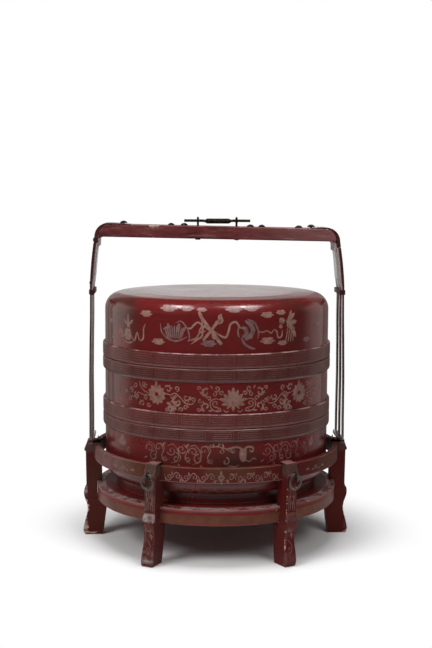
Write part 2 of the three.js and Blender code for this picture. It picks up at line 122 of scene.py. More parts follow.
class StageSettings(bpy.types.PropertyGroup):
    lens: bpy.props.FloatProperty(
        name="Lens", description="Focal length, in millimetres", default=65.3, unit="CAMERA"
    )
    distance: bpy.props.FloatProperty(
        name="Distance", description="From the camera to the basket's axis", default=2.106, unit="LENGTH"
    )
    height: bpy.props.FloatProperty(
        name="Height", description="Of the camera above the floor", default=0.6146, unit="LENGTH"
    )
    turn: bpy.props.FloatProperty(
        name="Turn", description="How far the camera stands to the left", default=math.radians(2.6), subtype="ANGLE"
    )
    roll: bpy.props.FloatProperty(
        name="Roll", description="How far the camera leans over its line of sight", default=math.radians(-0.3), subtype="ANGLE"
    )
    aim: bpy.props.FloatProperty(
        name="Aim", description="How far the camera looks past the axis", default=math.radians(0.066), subtype="ANGLE"
    )
    pitch: bpy.props.FloatProperty(
        name="Pitch", description="How far the camera looks down", default=math.radians(6.25), subtype="ANGLE"
    )
    room_level: bpy.props.FloatProperty(
        name="Room level", description="Even light from all round", default=0.22, min=0
    )
    softbox_level: bpy.props.FloatProperty(
        name="Softbox level", description="Power of each overhead softbox, in watts", default=17.0, min=0
    )
    highlight_level: bpy.props.FloatProperty(
        name="Highlight level", description="Brightness of the softboxes in reflections", default=21.0, min=0
    )
    dark_level: bpy.props.FloatProperty(
        name="Dark level", description="Brightness of the dark studio in reflections", default=0.03, min=0
    )
    floor_radius: bpy.props.FloatProperty(
        name="Floor radius", description="Of the white sheet under the basket", default=0.62, unit="LENGTH"
    )


class FinishColours(bpy.types.PropertyGroup):
    lacquer: bpy.props.FloatVectorProperty(
        name="Lacquer", description="Red of the lid and trays", default=(0.118, 0.0105, 0.0105), subtype="COLOR"
    )
    aged: bpy.props.FloatVectorProperty(
        name="Aged lacquer", description="Where the red has darkened", default=(0.058, 0.016, 0.012), subtype="COLOR"
    )
    band: bpy.props.FloatVectorProperty(
        name="Bands", description="Dull brown-red of the bands", default=(0.092, 0.0185, 0.0158), subtype="COLOR"
    )
    stand: bpy.props.FloatVectorProperty(
        name="Stand", description="Brown-red of the stand", default=(0.070, 0.0120, 0.0105), subtype="COLOR"
    )
    olive: bpy.props.FloatVectorProperty(
        name="Olive", description="Where the stand's lacquer has browned", default=(0.076, 0.033, 0.020), subtype="COLOR"
    )
    handle: bpy.props.FloatVectorProperty(
        name="Handle", description="Maroon of the handle", default=(0.135, 0.029, 0.030), subtype="COLOR"
    )
    gold: bpy.props.FloatVectorProperty(
        name="Gold", description="Tan gold of the painted ornament", default=(0.330, 0.175, 0.138), subtype="COLOR"
    )
    silver: bpy.props.FloatVectorProperty(
        name="Silver", description="Dull grey of the rest of the ornament", default=(0.205, 0.122, 0.116), subtype="COLOR"
    )
    bare_wood: bpy.props.FloatVectorProperty(
        name="Bare wood", description="Wood and ground in the chips", default=(0.50, 0.34, 0.24), subtype="COLOR"
    )
    worn: bpy.props.FloatVectorProperty(
        name="Worn edges", description="Where hands have rubbed the edges", default=(0.230, 0.105, 0.095), subtype="COLOR"
    )
    # Also the colour of the painted highlight along the bands' top edges and of the painted sheen on the hoop's left
    rubbed: bpy.props.FloatVectorProperty(
        name="Rubbed edges", description="Thin lines along the upper edges", default=(0.40, 0.27, 0.26), subtype="COLOR"
    )
    iron: bpy.props.FloatVectorProperty(
        name="Iron", description="Dark aged iron", default=(0.035, 0.032, 0.028), subtype="COLOR"
    )
    bronze: bpy.props.FloatVectorProperty(
        name="Ring metal", description="Greyed bronze of the hanging rings", default=(0.12, 0.10, 0.084), subtype="COLOR"
    )


# Shader maths


class Value:
    """A value among the nodes, which adds its Math nodes when it is used in a sum"""

    def __init__(self, bench, socket):
        self.bench = bench
        self.socket = socket

    def math(self, operation, *values):
        return self.bench.add("Math", {"operation": operation}, dict(enumerate(values)))

    def __add__(self, other):
        return self.math("ADD", self, other)

    def __sub__(self, other):
        return self.math("SUBTRACT", self, other)

    def __mul__(self, other):
        return self.math("MULTIPLY", self, other)

    def __rsub__(self, other):
        return self.math("SUBTRACT", other, self)

    __radd__ = __add__
    __rmul__ = __mul__

    def most(self, other):
        return self.math("MAXIMUM", self, other)

    def fade(self, start, end):
        """0 at start and 1 at end, with a soft run between them"""
        settings = {"interpolation_type": "SMOOTHSTEP"}
        return self.bench.add("MapRange", settings, {0: self, 1: start, 2: end, 3: 0.0, 4: 1.0})

    def between(self, first, last, soft):
        """1 from first to last, and 0 outside"""
        return self.fade(first - soft, first + soft) * (1 - self.fade(last - soft, last + soft))


class Bench:
    """Adds nodes to a material's or a world's tree"""

    def __init__(self, owner):
        owner.use_nodes = True
        self.tree = owner.node_tree

    def add(self, kind, settings, sockets, output=0):
        """Adds a node: its settings first, and then the values or links of its sockets"""
        node = self.tree.nodes.new("ShaderNode" + kind)
        for name, value in settings.items():
            setattr(node, name, value)
        for place, value in sockets.items():
            if isinstance(value, Value):
                self.tree.links.new(value.socket, node.inputs[place])
            else:
                node.inputs[place].default_value = value
        return Value(self, node.outputs[output])

    def mix(self, amount, first, second):
        colour = lambda value: value if isinstance(value, Value) else (*value[:3], 1.0)
        sockets = {0: amount, 6: colour(first), 7: colour(second)}
        return self.add("Mix", {"data_type": "RGBA"}, sockets, 2)


class Finish(Bench):
    """A material on the plain shader, built from Object coordinates"""

    def __init__(self, name, roughness=0.5, metallic=0.0, coat=0.0, coat_roughness=0.1):
        self.material = bpy.data.materials.new(name)
        super().__init__(self.material)
        self.shader = self.tree.nodes["Principled BSDF"]
        for place, value in (("Roughness", roughness), ("Metallic", metallic), ("Coat Weight", coat),
                             ("Coat Roughness", coat_roughness)):
            self.shader.inputs[place].default_value = value
        self.place = self.add("TexCoord", {}, {}, "Object")

    def stretch(self, x, y, z):
        return self.add("Mapping", {}, {"Vector": self.place, "Scale": (x, y, z)})

    def noise(self, scale, detail=3.0, rough=0.55, at=None):
        return self.add("TexNoise", {}, {"Vector": at or self.place, "Scale": scale, "Detail": detail, "Roughness": rough})

    def axis(self, name):
        return self.add("SeparateXYZ", {}, {0: self.place}, name)

    def mark(self, name):
        return self.add("Attribute", {"attribute_name": name}, {}, "Fac")

    def bump(self, height, distance, under=None):
        sockets = {"Height": height, "Distance": distance, "Strength": 1.0}
        if under:
            sockets["Normal"] = under
        return self.add("Bump", {}, sockets)

    def use(self, **inputs):
        """Links what varies over the surface, such as base_color=..., to the shader"""
        for name, value in inputs.items():
            self.tree.links.new(value.socket, self.shader.inputs[name.replace("_", " ").title()])
        return self.material


def darker(colour, share):
    return tuple(channel * share for channel in colour[:3])


def lacquer_finish(
    name, colour, aged, roughness=0.3, coat=0.35, wear=0.5, grain=(2, 2, 60), stripes=None, shine=0.5, tint=(1, 1, 1)
):
    """Old lacquer: brushed on, darkened in clouds, rubbed at the edges, chipped to the wood and pitted"""
    finish = Finish(name, roughness=roughness, coat=coat, coat_roughness=0.13)
    finish.shader.inputs["Specular IOR Level"].default_value = shine
    finish.shader.inputs["Specular Tint"].default_value = (*tint, 1)
    clouds = finish.noise(9, 4, 0.6)
    strokes = finish.noise(5, 3, 0.6, finish.stretch(*grain))
    dust = finish.noise(230, 2, 0.6)
    patches = finish.noise(60, 4, 0.7)
    body = finish.mix(clouds.fade(0.45, 0.7), colour, aged)
    if stripes:
        body = stripes(finish, body)
    body = finish.mix(strokes.fade(0.5, 0.8) * 0.5, body, darker(colour, 1.5))
    scuffs = finish.noise(48, 5, 0.7, finish.stretch(1, 1, 2.2))
    body = finish.mix(scuffs.fade(0.58, 0.72) * 0.5, body, darker(aged, 0.6))
    rubbed = (finish.mark("edge") * 1.1 + patches * 1.0 - 1.15).fade(0, 0.35) * wear
    body = finish.mix(rubbed, body, colours().worn)
    chips = (finish.mark("chip") + finish.noise(170, 3, 0.7) * 0.7 - 0.95).fade(0, 0.06)
    body = finish.mix(chips, body, finish.mix(patches, colours().bare_wood, darker(colours().bare_wood, 0.45)))
    pits = finish.noise(95, 2, 0.5).fade(0.72, 0.77)
    body = finish.mix(pits * 0.7, body, darker(aged, 0.4))
    rough = clouds * 0.2 + dust * 0.06 + rubbed * 0.25 + chips * 0.4 + (roughness - 0.16)
    waves = finish.bump(finish.noise(14, 2, 0.5) + strokes * 0.12, 0.0012)
    fine = finish.bump(dust * 0.06 + scuffs * 0.35 - rubbed * 0.3 - pits * 0.6 - chips * 2, 0.00016, waves)
    return finish.use(base_color=body, roughness=rough, normal=fine)


# Modelling


def clear_selection():
    if bpy.context.object and bpy.context.object.mode != "OBJECT":
        bpy.ops.object.mode_set(mode="OBJECT")
    bpy.ops.object.select_all(action="DESELECT")


def begin(name, primitive, **where):
    """Adds a primitive with nothing else selected, and opens it in edit mode"""
    clear_selection()
    primitive(**where)
    piece = bpy.context.object
    piece.name = piece.data.name = name
    bpy.ops.object.transform_apply(location=True, rotation=True, scale=True)
    bpy.ops.object.mode_set(mode="EDIT")
    bpy.ops.mesh.select_mode(type="VERT")
    bpy.ops.mesh.select_all(action="SELECT")
    return piece


def pick(piece, kind, test):
    """Selects only the faces, edges or corners that pass a test, and counts them"""
    bpy.ops.mesh.select_mode(type=kind)
    bpy.ops.mesh.select_all(action="DESELECT")
    mesh = bmesh.from_edit_mesh(piece.data)
    found = [part for part in {"FACE": mesh.faces, "EDGE": mesh.edges, "VERT": mesh.verts}[kind] if test(part)]
    for part in found:
        part.select_set(True)
    bmesh.update_edit_mesh(piece.data)
    return len(found)


def pull(step):
    bpy.ops.mesh.extrude_region_move(TRANSFORM_OT_translate={"value": step})


def tidy(distance=1e-6):
    """Merges doubles and turns every face outwards"""
    bpy.ops.mesh.select_all(action="SELECT")
    bpy.ops.mesh.remove_doubles(threshold=distance)
    bpy.ops.mesh.normals_make_consistent(inside=False)


def draw(name, points, closed=False):
    """Draws a chain of edges by pulling one corner from point to point"""
    points = [Vector(point) for point in points]
    piece = begin(name, bpy.ops.mesh.primitive_plane_add, size=MM, location=points[0])
    bpy.ops.mesh.merge(type="CENTER")
    for here, there in zip(points, points[1:] + points[:1] if closed else points[1:]):
        pull(there - here)
    if closed:
        bpy.ops.mesh.select_all(action="SELECT")
        bpy.ops.mesh.remove_doubles(threshold=2e-6)
    return piece


def turned(name, profile, steps=0, closed=False):
    """Turns a profile of (radius, height) points once round the upright axis"""
    profile = supported(profile, closed)
    piece = draw(name, [(radius, 0, height) for radius, height in profile], closed)
    bpy.ops.mesh.select_all(action="SELECT")
    bpy.ops.mesh.spin(steps=steps or sizes().turning_steps, angle=math.tau, center=(0, 0, 0), axis=(0, 0, 1))
    tidy(2e-6)
    return piece


def board(name, outline, depth, margin=0):
    """A board with an outline in X and Z, as deep as given along Y and centred on it

    A margin adds loops that far inside its edges, which hold the wear close to them.
    """
    piece = draw(name, [(x, -depth / 2, z) for x, z in outline], closed=True)
    bpy.ops.mesh.select_all(action="SELECT")
    bpy.ops.mesh.edge_face_add()
    pull((0, depth, 0))
    tidy()
    if margin:
        for inside in (margin * 0.45, margin * 0.55):
            pick(piece, "FACE", lambda face: len(face.verts) > 8)
            bpy.ops.mesh.inset(thickness=inside, use_even_offset=True)
        for place in (depth / 2 - margin, depth / 2 - margin * 0.45):
            for side in (-1, 1):
                bpy.ops.mesh.select_all(action="SELECT")
                bpy.ops.mesh.bisect(plane_co=(0, side * place, 0), plane_no=(0, 1, 0))
    return piece


def bevelled(piece, width, segments=3, angle=30):
    """Rounds the edges that are sharper than an angle"""
    bpy.ops.object.mode_set(mode="OBJECT")
    bpy.ops.object.modifier_add(type="BEVEL")
    bevel = piece.modifiers[-1]
    bevel.width, bevel.segments, bevel.angle_limit = width, segments, math.radians(angle)
    bpy.ops.object.modifier_apply(modifier=bevel.name)


def sliced(piece, step, axis=2):
    """Cuts the piece across an axis at even steps, so that its wear can vary along it"""
    if bpy.context.object.mode != "EDIT":
        bpy.ops.object.mode_set(mode="EDIT")
    places = [vertex.co[axis] for vertex in bmesh.from_edit_mesh(piece.data).verts]
    first, last = min(places), max(places)
    normal = tuple(float(n == axis) for n in range(3))
    for n in range(1, max(2, round((last - first) / step))):
        bpy.ops.mesh.select_all(action="SELECT")
        place = tuple(c * (first + n * (last - first) / max(2, round((last - first) / step))) for c in normal)
        bpy.ops.mesh.bisect(plane_co=place, plane_no=normal)
    bpy.ops.object.mode_set(mode="OBJECT")


def cut_across(axis, places):
    """Cuts the piece in edit mode across an axis, at places in mm"""
    for place in places:
        bpy.ops.mesh.select_all(action="SELECT")
        point, normal = ([share if n == axis else 0.0 for n in range(3)] for share in (place * MM, 1.0))
        bpy.ops.mesh.bisect(plane_co=point, plane_no=normal)


def sharp_points(piece, angle=28, spacing=0.002):
    """Points along the edges that are sharper than an angle"""
    editing = piece.mode == "EDIT"
    mesh = bmesh.from_edit_mesh(piece.data) if editing else bmesh.new()
    if not editing:
        mesh.from_mesh(piece.data)
    limit = math.radians(angle)
    points = []
    for edge in mesh.edges:
        if len(edge.link_faces) == 2 and edge.calc_face_angle(0) > limit:
            start, end = (piece.matrix_world @ vertex.co for vertex in edge.verts)
            count = max(1, math.ceil((end - start).length / spacing))
            points += [start.lerp(end, n / count) for n in range(count + 1)]
    if not editing:
        mesh.free()
    return points


def mark_edges(piece, points, reach=0.004):
    """Stores on every corner how near it lies to the sharp edges, from 0 to 1"""
    tree = kdtree.KDTree(len(points))
    for n, point in enumerate(points):
        tree.insert(point, n)
    tree.balance()
    mark = piece.data.attributes.new("edge", "FLOAT", "POINT")
    near = [math.exp(-tree.find(vertex.co)[2] / reach) if points else 0.0 for vertex in piece.data.vertices]
    mark.data.foreach_set("value", near)


def chip(piece, *spots):
    """Stores on every corner how near it lies to the chips, which are given as a point and a size in mm"""
    near = []
    for vertex in piece.data.vertices:
        shares = [1.2 - (vertex.co / MM - Vector(point)).length / size for point, size in spots]
        near.append(max(0.0, *shares))
    piece.data.attributes.new("chip", "FLOAT", "POINT").data.foreach_set("value", near)


def supported(profile, closed=False, spans=(0.8, 2.5, 6)):
    """Adds points near both ends of each straight run, which hold the wear close to the edges"""
    full = []
    ends = profile[1:] + (profile[:1] if closed else [])
    for start, end in zip(profile, ends):
        length = math.dist(start, end)
        steps = [span * MM for span in spans if span * MM < length * 0.45]
        shares = [0] + [step / length for step in steps] + [1 - step / length for step in reversed(steps)]
        full += [tuple(a + (b - a) * share for a, b in zip(start, end)) for share in shares]
    return full if closed else full + [profile[-1]]


def finished(piece, material, body, slot, *nodes, smooth=40):
    """Puts the piece's place into its mesh, shades it, paints it and seats it on its body"""
    if piece.mode != "OBJECT":
        bpy.ops.object.mode_set(mode="OBJECT")
    clear_selection()
    piece.select_set(True)
    bpy.context.view_layer.objects.active = piece
    bpy.ops.object.transform_apply(location=True, rotation=True, scale=True)
    bpy.ops.object.shade_smooth_by_angle(angle=math.radians(smooth))
    if not piece.data.materials:
        piece.data.materials.append(material)
    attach(piece, body)
    if nodes:
        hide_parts(*nodes)
    return piece


def copied(piece, name, turn=0.0, shift=(0, 0, 0), centre=(0, 0, 0), axis="Z"):
    """A copy with its own mesh, turned about a centre and then moved"""
    clear_selection()
    piece.select_set(True)
    bpy.context.view_layer.objects.active = piece
    bpy.ops.object.duplicate(linked=False)
    twin = bpy.context.object
    twin.name = twin.data.name = name
    if turn:
        bpy.ops.object.mode_set(mode="EDIT")
        bpy.ops.mesh.select_all(action="SELECT")
        bpy.ops.transform.rotate(value=-turn, orient_axis=axis, center_override=centre)
        bpy.ops.object.mode_set(mode="OBJECT")
    if any(shift):
        bpy.ops.transform.translate(value=shift)
    return twin


def arc(x, z, radius, start, end, steps=8):
    """Points of a round corner about a centre, between two angles in degrees"""
    angles = [math.radians(start + (end - start) * n / steps) for n in range(steps + 1)]
    return [(x + radius * math.cos(angle), z + radius * math.sin(angle)) for angle in angles]


def chained(*stretches, gap=0.012):
    """Joins points into one outline, and adds points so that none lie far apart"""
    points = [point for stretch in stretches for point in stretch]
    full = []
    for start, end in zip(points, points[1:] + points[:1]):
        count = max(1, math.ceil(math.dist(start, end) / gap))
        full += [tuple(a + (b - a) * n / count for a, b in zip(start, end)) for n in range(count)]
    return full


def sizes():
    return bpy.context.scene.basket_sizes


def colours():
    return bpy.context.scene.basket_colours


def stage_settings():
    return bpy.context.scene.basket_stage


def finish_of(name, make, *settings, **more):
    """The material of that name, made the first time that it is asked for"""
    return bpy.data.materials.get(name) or make(name, *settings, **more)


def red_lacquer():
    return finish_of("red_lacquer", lacquer_finish, colours().lacquer, colours().aged, 0.26, 0.5, 0.35)


def low_lacquer():
    """The lower tray's red, duller towards its foot, and darkened there with painted shade where the hoop shadows it"""

    def stripes(finish, body):
        height = finish.axis("Z") + finish.noise(12, 3, 0.6) * 0.02
        painted_hoop_shade = 1 - height.fade(LOWER_WALL_BOTTOM + 25 * MM, LOWER_WALL_BOTTOM + 75 * MM)
        finish.use(coat_weight=(1 - painted_hoop_shade) * 0.4 + 0.05)
        # Painted shade: the wall under the hoop darkened towards its foot
        return finish.mix(painted_hoop_shade * 0.3, body, darker(colours().aged, 0.8))

    return finish_of("low_lacquer", lacquer_finish, colours().lacquer, colours().aged, 0.32, 0.4, 0.35, stripes=stripes, shine=0.35)


def band_lacquer():
    """The lower band of each pair is darker, and the upper one is rubbed light along its top edge: worn paint, with
    painted highlight on the rounded edge
    """

    def stripes(finish, body):
        height = finish.axis("Z")
        broken_wear_and_highlight = finish.noise(40, 5, 0.7).fade(0.44, 0.6) * 0.75
        # Along each upper band's top edge: a broken pale line of wear and painted highlight
        for top in (high("lid_rim_band").z, high("middle_tray_bottom_band").z):
            body = finish.mix(height.between(top - 1.5 * MM, top + MM, 0.4 * MM) * broken_wear_and_highlight, body, colours().rubbed)
        for top in (UPPER_SEAM, LOWER_SEAM):
            body = finish.mix(height.between(top - 24 * MM, top, 0.2 * MM) * 0.45, body, darker(colours().band, 0.45))
        return body

    hue = colours().band
    return finish_of("band_lacquer", lacquer_finish, hue, darker(hue, 0.6), 0.45, 0.19, 0.75, stripes=stripes, shine=0.5)


def hoop_lacquer():
    """Painted sheen in pale grey patches on the left, where the light falls, and redder from the middle on"""

    def stripes(finish, body):
        # Painted sheen: pale grey laid in patches over the hoop's left side
        left = 1 - finish.axis("X").fade(-0.185, -0.135)
        patchy = finish.noise(28, 4, 0.65).fade(0.3, 0.65)
        return finish.mix((patchy * 0.25 + 0.12) * left, body, darker(colours().rubbed, 0.7))

    return finish_of(
        "hoop_lacquer", lacquer_finish, colours().stand, colours().olive, 0.55, 0.0, 0.8, stripes=stripes, shine=0.09, tint=(1, 0.35, 0.25)
    )


def board_lacquer():
    """The board's dull red, which mirrors little"""
    return finish_of("board_lacquer", lacquer_finish, colours().lacquer, colours().aged, 0.5, 0.04, 0.35, shine=0.14)


def base_lacquer():
    """Red under the bead, and browned from there down; a pinkish line on the bead and a pale line on the top edge are
    worn paint with painted highlight
    """

    def stripes(finish, body):
        height = finish.axis("Z")
        ragged = finish.noise(25, 4, 0.65) * 0.006
        browned = finish.mix(finish.noise(30, 4, 0.6).fade(0.35, 0.65), colours().olive, darker(colours().olive, 1.5))
        below = 1 - (height + ragged).fade(BOARD_TOP - 9 * MM, BOARD_TOP - 6 * MM)
        body = finish.mix(below * 0.85, finish.mix(0.6, body, darker(colours().lacquer, 1.2)), browned)
        foot = 1 - (height + ragged).fade(RING_LOW + 5 * MM, RING_LOW + 7 * MM)
        body = finish.mix(foot * 0.8, body, darker(colours().lacquer, 1.1))
        out = finish.add("VectorMath", {"operation": "LENGTH"}, {0: finish.stretch(1, 1, 0)}, "Value")
        # The bead's pinkish line: worn paint, with painted highlight on the bead
        bead = height.between(BOARD_TOP - 3.8 * MM, BOARD_TOP - 0.5 * MM, 0.4 * MM) * out.fade(BASE_RADIUS - 4 * MM, BASE_RADIUS - 2 * MM)
        body = finish.mix(bead * finish.noise(20, 3, 0.6).fade(0.25, 0.5) * 0.65, body, (0.24, 0.10, 0.095))
        # The top edge's pale line: rubbed wear, with painted highlight
        rubbed = height.fade(BOARD_TOP - 1.2 * MM, BOARD_TOP - 0.4 * MM)
        return finish.mix(rubbed * finish.noise(60, 5, 0.7).fade(0.42, 0.56) * 0.7, body, (0.33, 0.28, 0.27))

    return finish_of("base_lacquer", lacquer_finish, colours().stand, colours().olive, 0.45, 0.02, 0.45, stripes=stripes, shine=0.12, tint=(1, 0.5, 0.45))


def leg_lacquer():
    """Crazed and rubbed on the outer face, with painted highlight in grey patches on the knee and the toe, painted
    shade on the legs on the right, and browned at the head
    """

    def stripes(finish, body):
        height = finish.axis("Z")
        out = finish.add("VectorMath", {"operation": "LENGTH"}, {0: finish.stretch(1, 1, 0)}, "Value").fade(0.232, 0.2355)
        # left: the legs on the left, where the light falls; their crazing and highlight are painted stronger
        left = 1 - finish.axis("X").fade(-0.02, 0.02)
        crazed = finish.noise(75, 6, 0.8, finish.stretch(1, 1, 0.45))
        body = finish.mix(crazed.between(0.5, 0.53, 0.012) * out * (left * 0.2 + 0.1), body, darker(colours().rubbed, 0.6))
        patchy = finish.noise(42, 4, 0.65)
        # Painted shade: the legs on the right darkened
        body = finish.mix((1 - left) * 0.7, body, darker(colours().lacquer, 0.58))
        body = finish.mix(height.fade(0.148, 0.157) * 0.55, body, (0.075, 0.056, 0.047))
        # Painted highlight: grey patches on the knee and the toe, strongest on the left legs
        spots = height.between(0.077, 0.09, 0.002).most(height.between(0.008, 0.026, 0.004) * 0.8) * out
        return finish.mix(spots * patchy.fade(0.36, 0.56) * (left * 0.75 + 0.1), body, (0.29, 0.25, 0.245))

    return finish_of(
        "leg_lacquer", lacquer_finish, darker(colours().stand, 0.8), darker(colours().olive, 0.6), 0.48, 0.03, 0.7,
        grain=(50, 50, 3), stripes=stripes, shine=0.17, tint=(1, 0.4, 0.35)
    )


def bar_lacquer():
    """Streaked along the bar, from dark maroon to a dull pink, with painted shadow along its lower edge and painted
    sheen on the blocks under its ends
    """

    def stripes(finish, body):
        streaks = finish.noise(14, 6, 0.75, finish.stretch(2.0, 12, 12))
        body = finish.mix((1 - streaks.fade(0.36, 0.5)) * 0.8, body, darker(colours().handle, 0.38))
        body = finish.mix(streaks.fade(0.52, 0.66) * 0.75, body, (0.235, 0.10, 0.095))
        across = finish.axis("X")
        body = finish.mix((1 - across.fade(-0.2, -0.05)) * 0.3, body, darker(colours().handle, 0.5))
        body = finish.mix(across.fade(0, 0.2) * 0.4, body, (0.24, 0.125, 0.12))
        edge = finish.axis("Z") + across * -BAR_SLOPE
        # Painted shadow: a dark line along the bar's lower edge
        body = finish.mix((1 - edge.fade(BAR_TOP - 21.6 * MM, BAR_TOP - 19.6 * MM)) * 0.6, body, darker(colours().handle, 0.3))
        # Painted sheen: pale grey on the blocks that hang under the bar's ends
        return finish.mix((1 - edge.fade(BAR_TOP - 27 * MM, BAR_TOP - 24 * MM)) * 0.8, body, (0.44, 0.39, 0.38))

    hue = colours().handle
    return finish_of("bar_lacquer", lacquer_finish, hue, darker(hue, 0.6), 0.42, 0.2, 0.6, grain=(3, 50, 50), stripes=stripes)


def upright_lacquer():
    """Almost black along its edges, dull pink between them, and paler on the inner faces with a painted reflection of
    the white room
    """

    def stripes(finish, body):
        pale = finish.noise(30, 3, 0.6, finish.stretch(8, 8, 1)).fade(0.3, 0.7) * 0.3 + 0.32
        body = finish.mix(pale * (1 - finish.mark("edge").fade(0.05, 0.3)), body, (0.32, 0.245, 0.24))
        # Painted reflection: the inner faces paled to grey
        return finish.mix(finish.mark("inner").fade(0.5, 0.9) * 0.7, body, (0.42, 0.37, 0.36))

    hue = darker(colours().handle, 0.36)
    return finish_of("upright_lacquer", lacquer_finish, hue, darker(hue, 0.7), 0.3, 0.6, 0.12, grain=(50, 50, 3), stripes=stripes)


def ornament_finish(name, colour, wear=0.5):
    """Paint over the lacquer, cracked and partly rubbed away, and darkened with painted shade where the wall turns to
    the sides
    """
    finish = Finish(name, roughness=0.5, coat=0.25, coat_roughness=0.15)
    rubbed = finish.noise(70, 5, 0.7)
    shade = finish.mix(finish.noise(160, 3, 0.6).fade(0.35, 0.65), colour, darker(colour, 0.62))
    shade = finish.mix(rubbed.fade(0.5, 0.66) * wear, shade, colours().aged)
    fade = finish.noise(12, 2, 0.5).fade(0.45, 0.75) * 0.35
    shade = finish.mix(fade, shade, darker(colours().lacquer, 0.9))
    # Painted shade: the ornament browned towards the left and right of the basket
    across = finish.axis("X")
    outer = across.math("ABSOLUTE", across).fade(0.115, 0.165)
    shade = finish.mix(outer * 0.5, shade, (0.125, 0.075, 0.055))
    rough = rubbed * 0.3 + 0.35
    return finish.use(base_color=shade, roughness=rough, normal=finish.bump(rubbed, 0.0002))


def gold_paint():
    return finish_of("gold_paint", ornament_finish, colours().gold)


def tray_gold_paint():
    return finish_of("tray_gold_paint", ornament_finish, darker(colours().gold, 0.84), 0.6)


def silver_paint():
    return finish_of("silver_paint", ornament_finish, colours().silver)


def dark_paint():
    return finish_of("dark_paint", ornament_finish, (0.03, 0.017, 0.014), 0.3)


def fret_paint():
    return finish_of("fret_paint", ornament_finish, (0.20, 0.096, 0.083), 0.9)


def old_metal(name, colour, rust, roughness):
    finish = Finish(name, metallic=0.85)
    spots = finish.noise(120, 4, 0.65)
    body = finish.mix(spots.fade(0.5, 0.75), colour, rust)
    pitted = finish.bump(finish.noise(420, 3, 0.6) + spots * 0.6, 0.0002)
    return finish.use(base_color=body, roughness=spots * 0.3 + roughness, normal=pitted)


def aged_iron():
    return finish_of("aged_iron", old_metal, colours().iron, (0.055, 0.034, 0.022), 0.42)


def ring_metal():
    return finish_of("ring_metal", old_metal, colours().bronze, (0.07, 0.05, 0.038), 0.34)


def mark_after(piece, reach=0.004, width=0):
    """Marks the worn edges of a piece, and rounds them if a width is given"""
    points = sharp_points(piece)
    if piece.mode != "OBJECT":
        bpy.ops.object.mode_set(mode="OBJECT")
    clear_selection()
    piece.select_set(True)
    bpy.context.view_layer.objects.active = piece
    bpy.ops.object.transform_apply(location=True, rotation=True, scale=True)
    if width:
        bevelled(piece, width)
    mark_edges(piece, points, reach)


def reshape(piece, place):
    """Moves every corner to where a function puts it"""
    for vertex in piece.data.vertices:
        vertex.co = place(*vertex.co)
    piece.data.update()


def along(table, height):
    """Reads a value off a table of (height, value) pairs, between its rows"""
    rows = sorted(table)
    if height <= rows[0][0]:
        return rows[0][1]
    for (below, first), (above, second) in zip(rows, rows[1:]):
        if height <= above:
            return first + (second - first) * (height - below) / (above - below)
    return rows[-1][1]


# Painted ornament, in mm: across the wall and up from the floor


def smooth(points, steps=5):
    """A flowing line through a few points"""
    points = [Vector(point) for point in points]
    padded = [2 * points[0] - points[1], *points, 2 * points[-1] - points[-2]]
    line = []
    for before, start, end, after in zip(padded, padded[1:], padded[2:], padded[3:]):
        for n in range(steps):
            t = n / steps
            bend = (end - before) * t + (2 * before - 5 * start + 4 * end - after) * t * t
            line.append(start + (bend + (3 * start - before - 3 * end + after) * t ** 3) / 2)
    return [tuple(point) for point in line + [points[-1]]]


def stroke(points, width=0.8, taper=(1, 1)):
    """A brush line as (points, half widths), with the share of its width left at both ends"""
    last = len(points) - 1
    widths = []
    for n in range(last + 1):
        t = n / last
        ends = min(1, taper[0] + t * 3, taper[1] + (1 - t) * 3)
        widths.append(width * ends)
    return points, widths


def line(*points, width=0.8, taper=(0.4, 0.4), steps=5):
    return stroke(smooth(points, steps), width, taper)


def curl(x, y, size, start=0, sweep=400, width=0.9):
    """A line that winds in to a dot"""
    points, widths = [], []
    for n in range(15):
        t = n / 14
        angle = math.radians(start + sweep * t)
        radius = size * (1 - 0.8 * t)
        points.append((x + radius * math.cos(angle), y + radius * math.sin(angle)))
        widths.append(width * (1.1 - 0.4 * t))
    widths[-1] = width * 1.5
    return points, widths


def petal(x, y, length, angle, width, start=0.0):
    """A teardrop that points away from (x, y)"""
    shares = ((0, 0.3), (0.2, 0.75), (0.45, 1), (0.7, 0.92), (0.88, 0.6), (1, 0.12))
    along_x, along_y = math.cos(math.radians(angle)), math.sin(math.radians(angle))
    reach = [start + (length - start) * share for share, _ in shares]
    return [(x + along_x * r, y + along_y * r) for r in reach], [width * share for _, share in shares]


def flower(x, y, size, petals=10):
    """A round flower with a dark eye"""
    turns = [360 * n / petals + 8 for n in range(petals)]
    return [petal(x, y, size, turn, size * 0.25, size * 0.2) for turn in turns]


def lotus(x, y, size):
    """A lotus seen from the front, with pointed petals and a falling sepal"""
    upright = [petal(x + side * spread, y - size * 0.25, size * reach, 90 - side * turn, size * 0.2, size * 0.02)
               for turn, reach, spread in ((0, 1.3, 0), (19, 1.15, 1), (46, 1.05, 2), (74, 1.12, 2), (104, 0.95, 2))
               for side in (-1, 1)]
    hanging = [petal(x, y - size * 0.2, size * 0.85, 270 + turn, size * 0.15) for turn in (-42, 0, 42)]
    return upright + hanging


def leaf(x, y, size, angle=0, turn=1):
    """A curled acanthus leaf: a thick curl with small lobes on its back"""
    body = curl(x, y, size, angle, 330 * turn, size * 0.22)
    lobes = [petal(x, y, size * 1.35, angle + turn * step, size * 0.14, size * 0.6) for step in (30, 80, 130)]
    return [body] + lobes


def cloud(x, y, width):
    """A small cloud: flat lobes one above the other"""
    half = width / 2
    rows = ((0, 0, 1, 0.24), (-0.35, 0.28, 0.42, 0.17), (0.3, 0.3, 0.45, 0.17), (0.05, -0.25, 0.6, 0.13))
    return [
        stroke([(x + (across + reach * t) * half, y + up * half) for t in (-1, -0.6, -0.2, 0.2, 0.6, 1)], thick * half, (0.25, 0.25))
        for across, up, reach, thick in rows
    ]


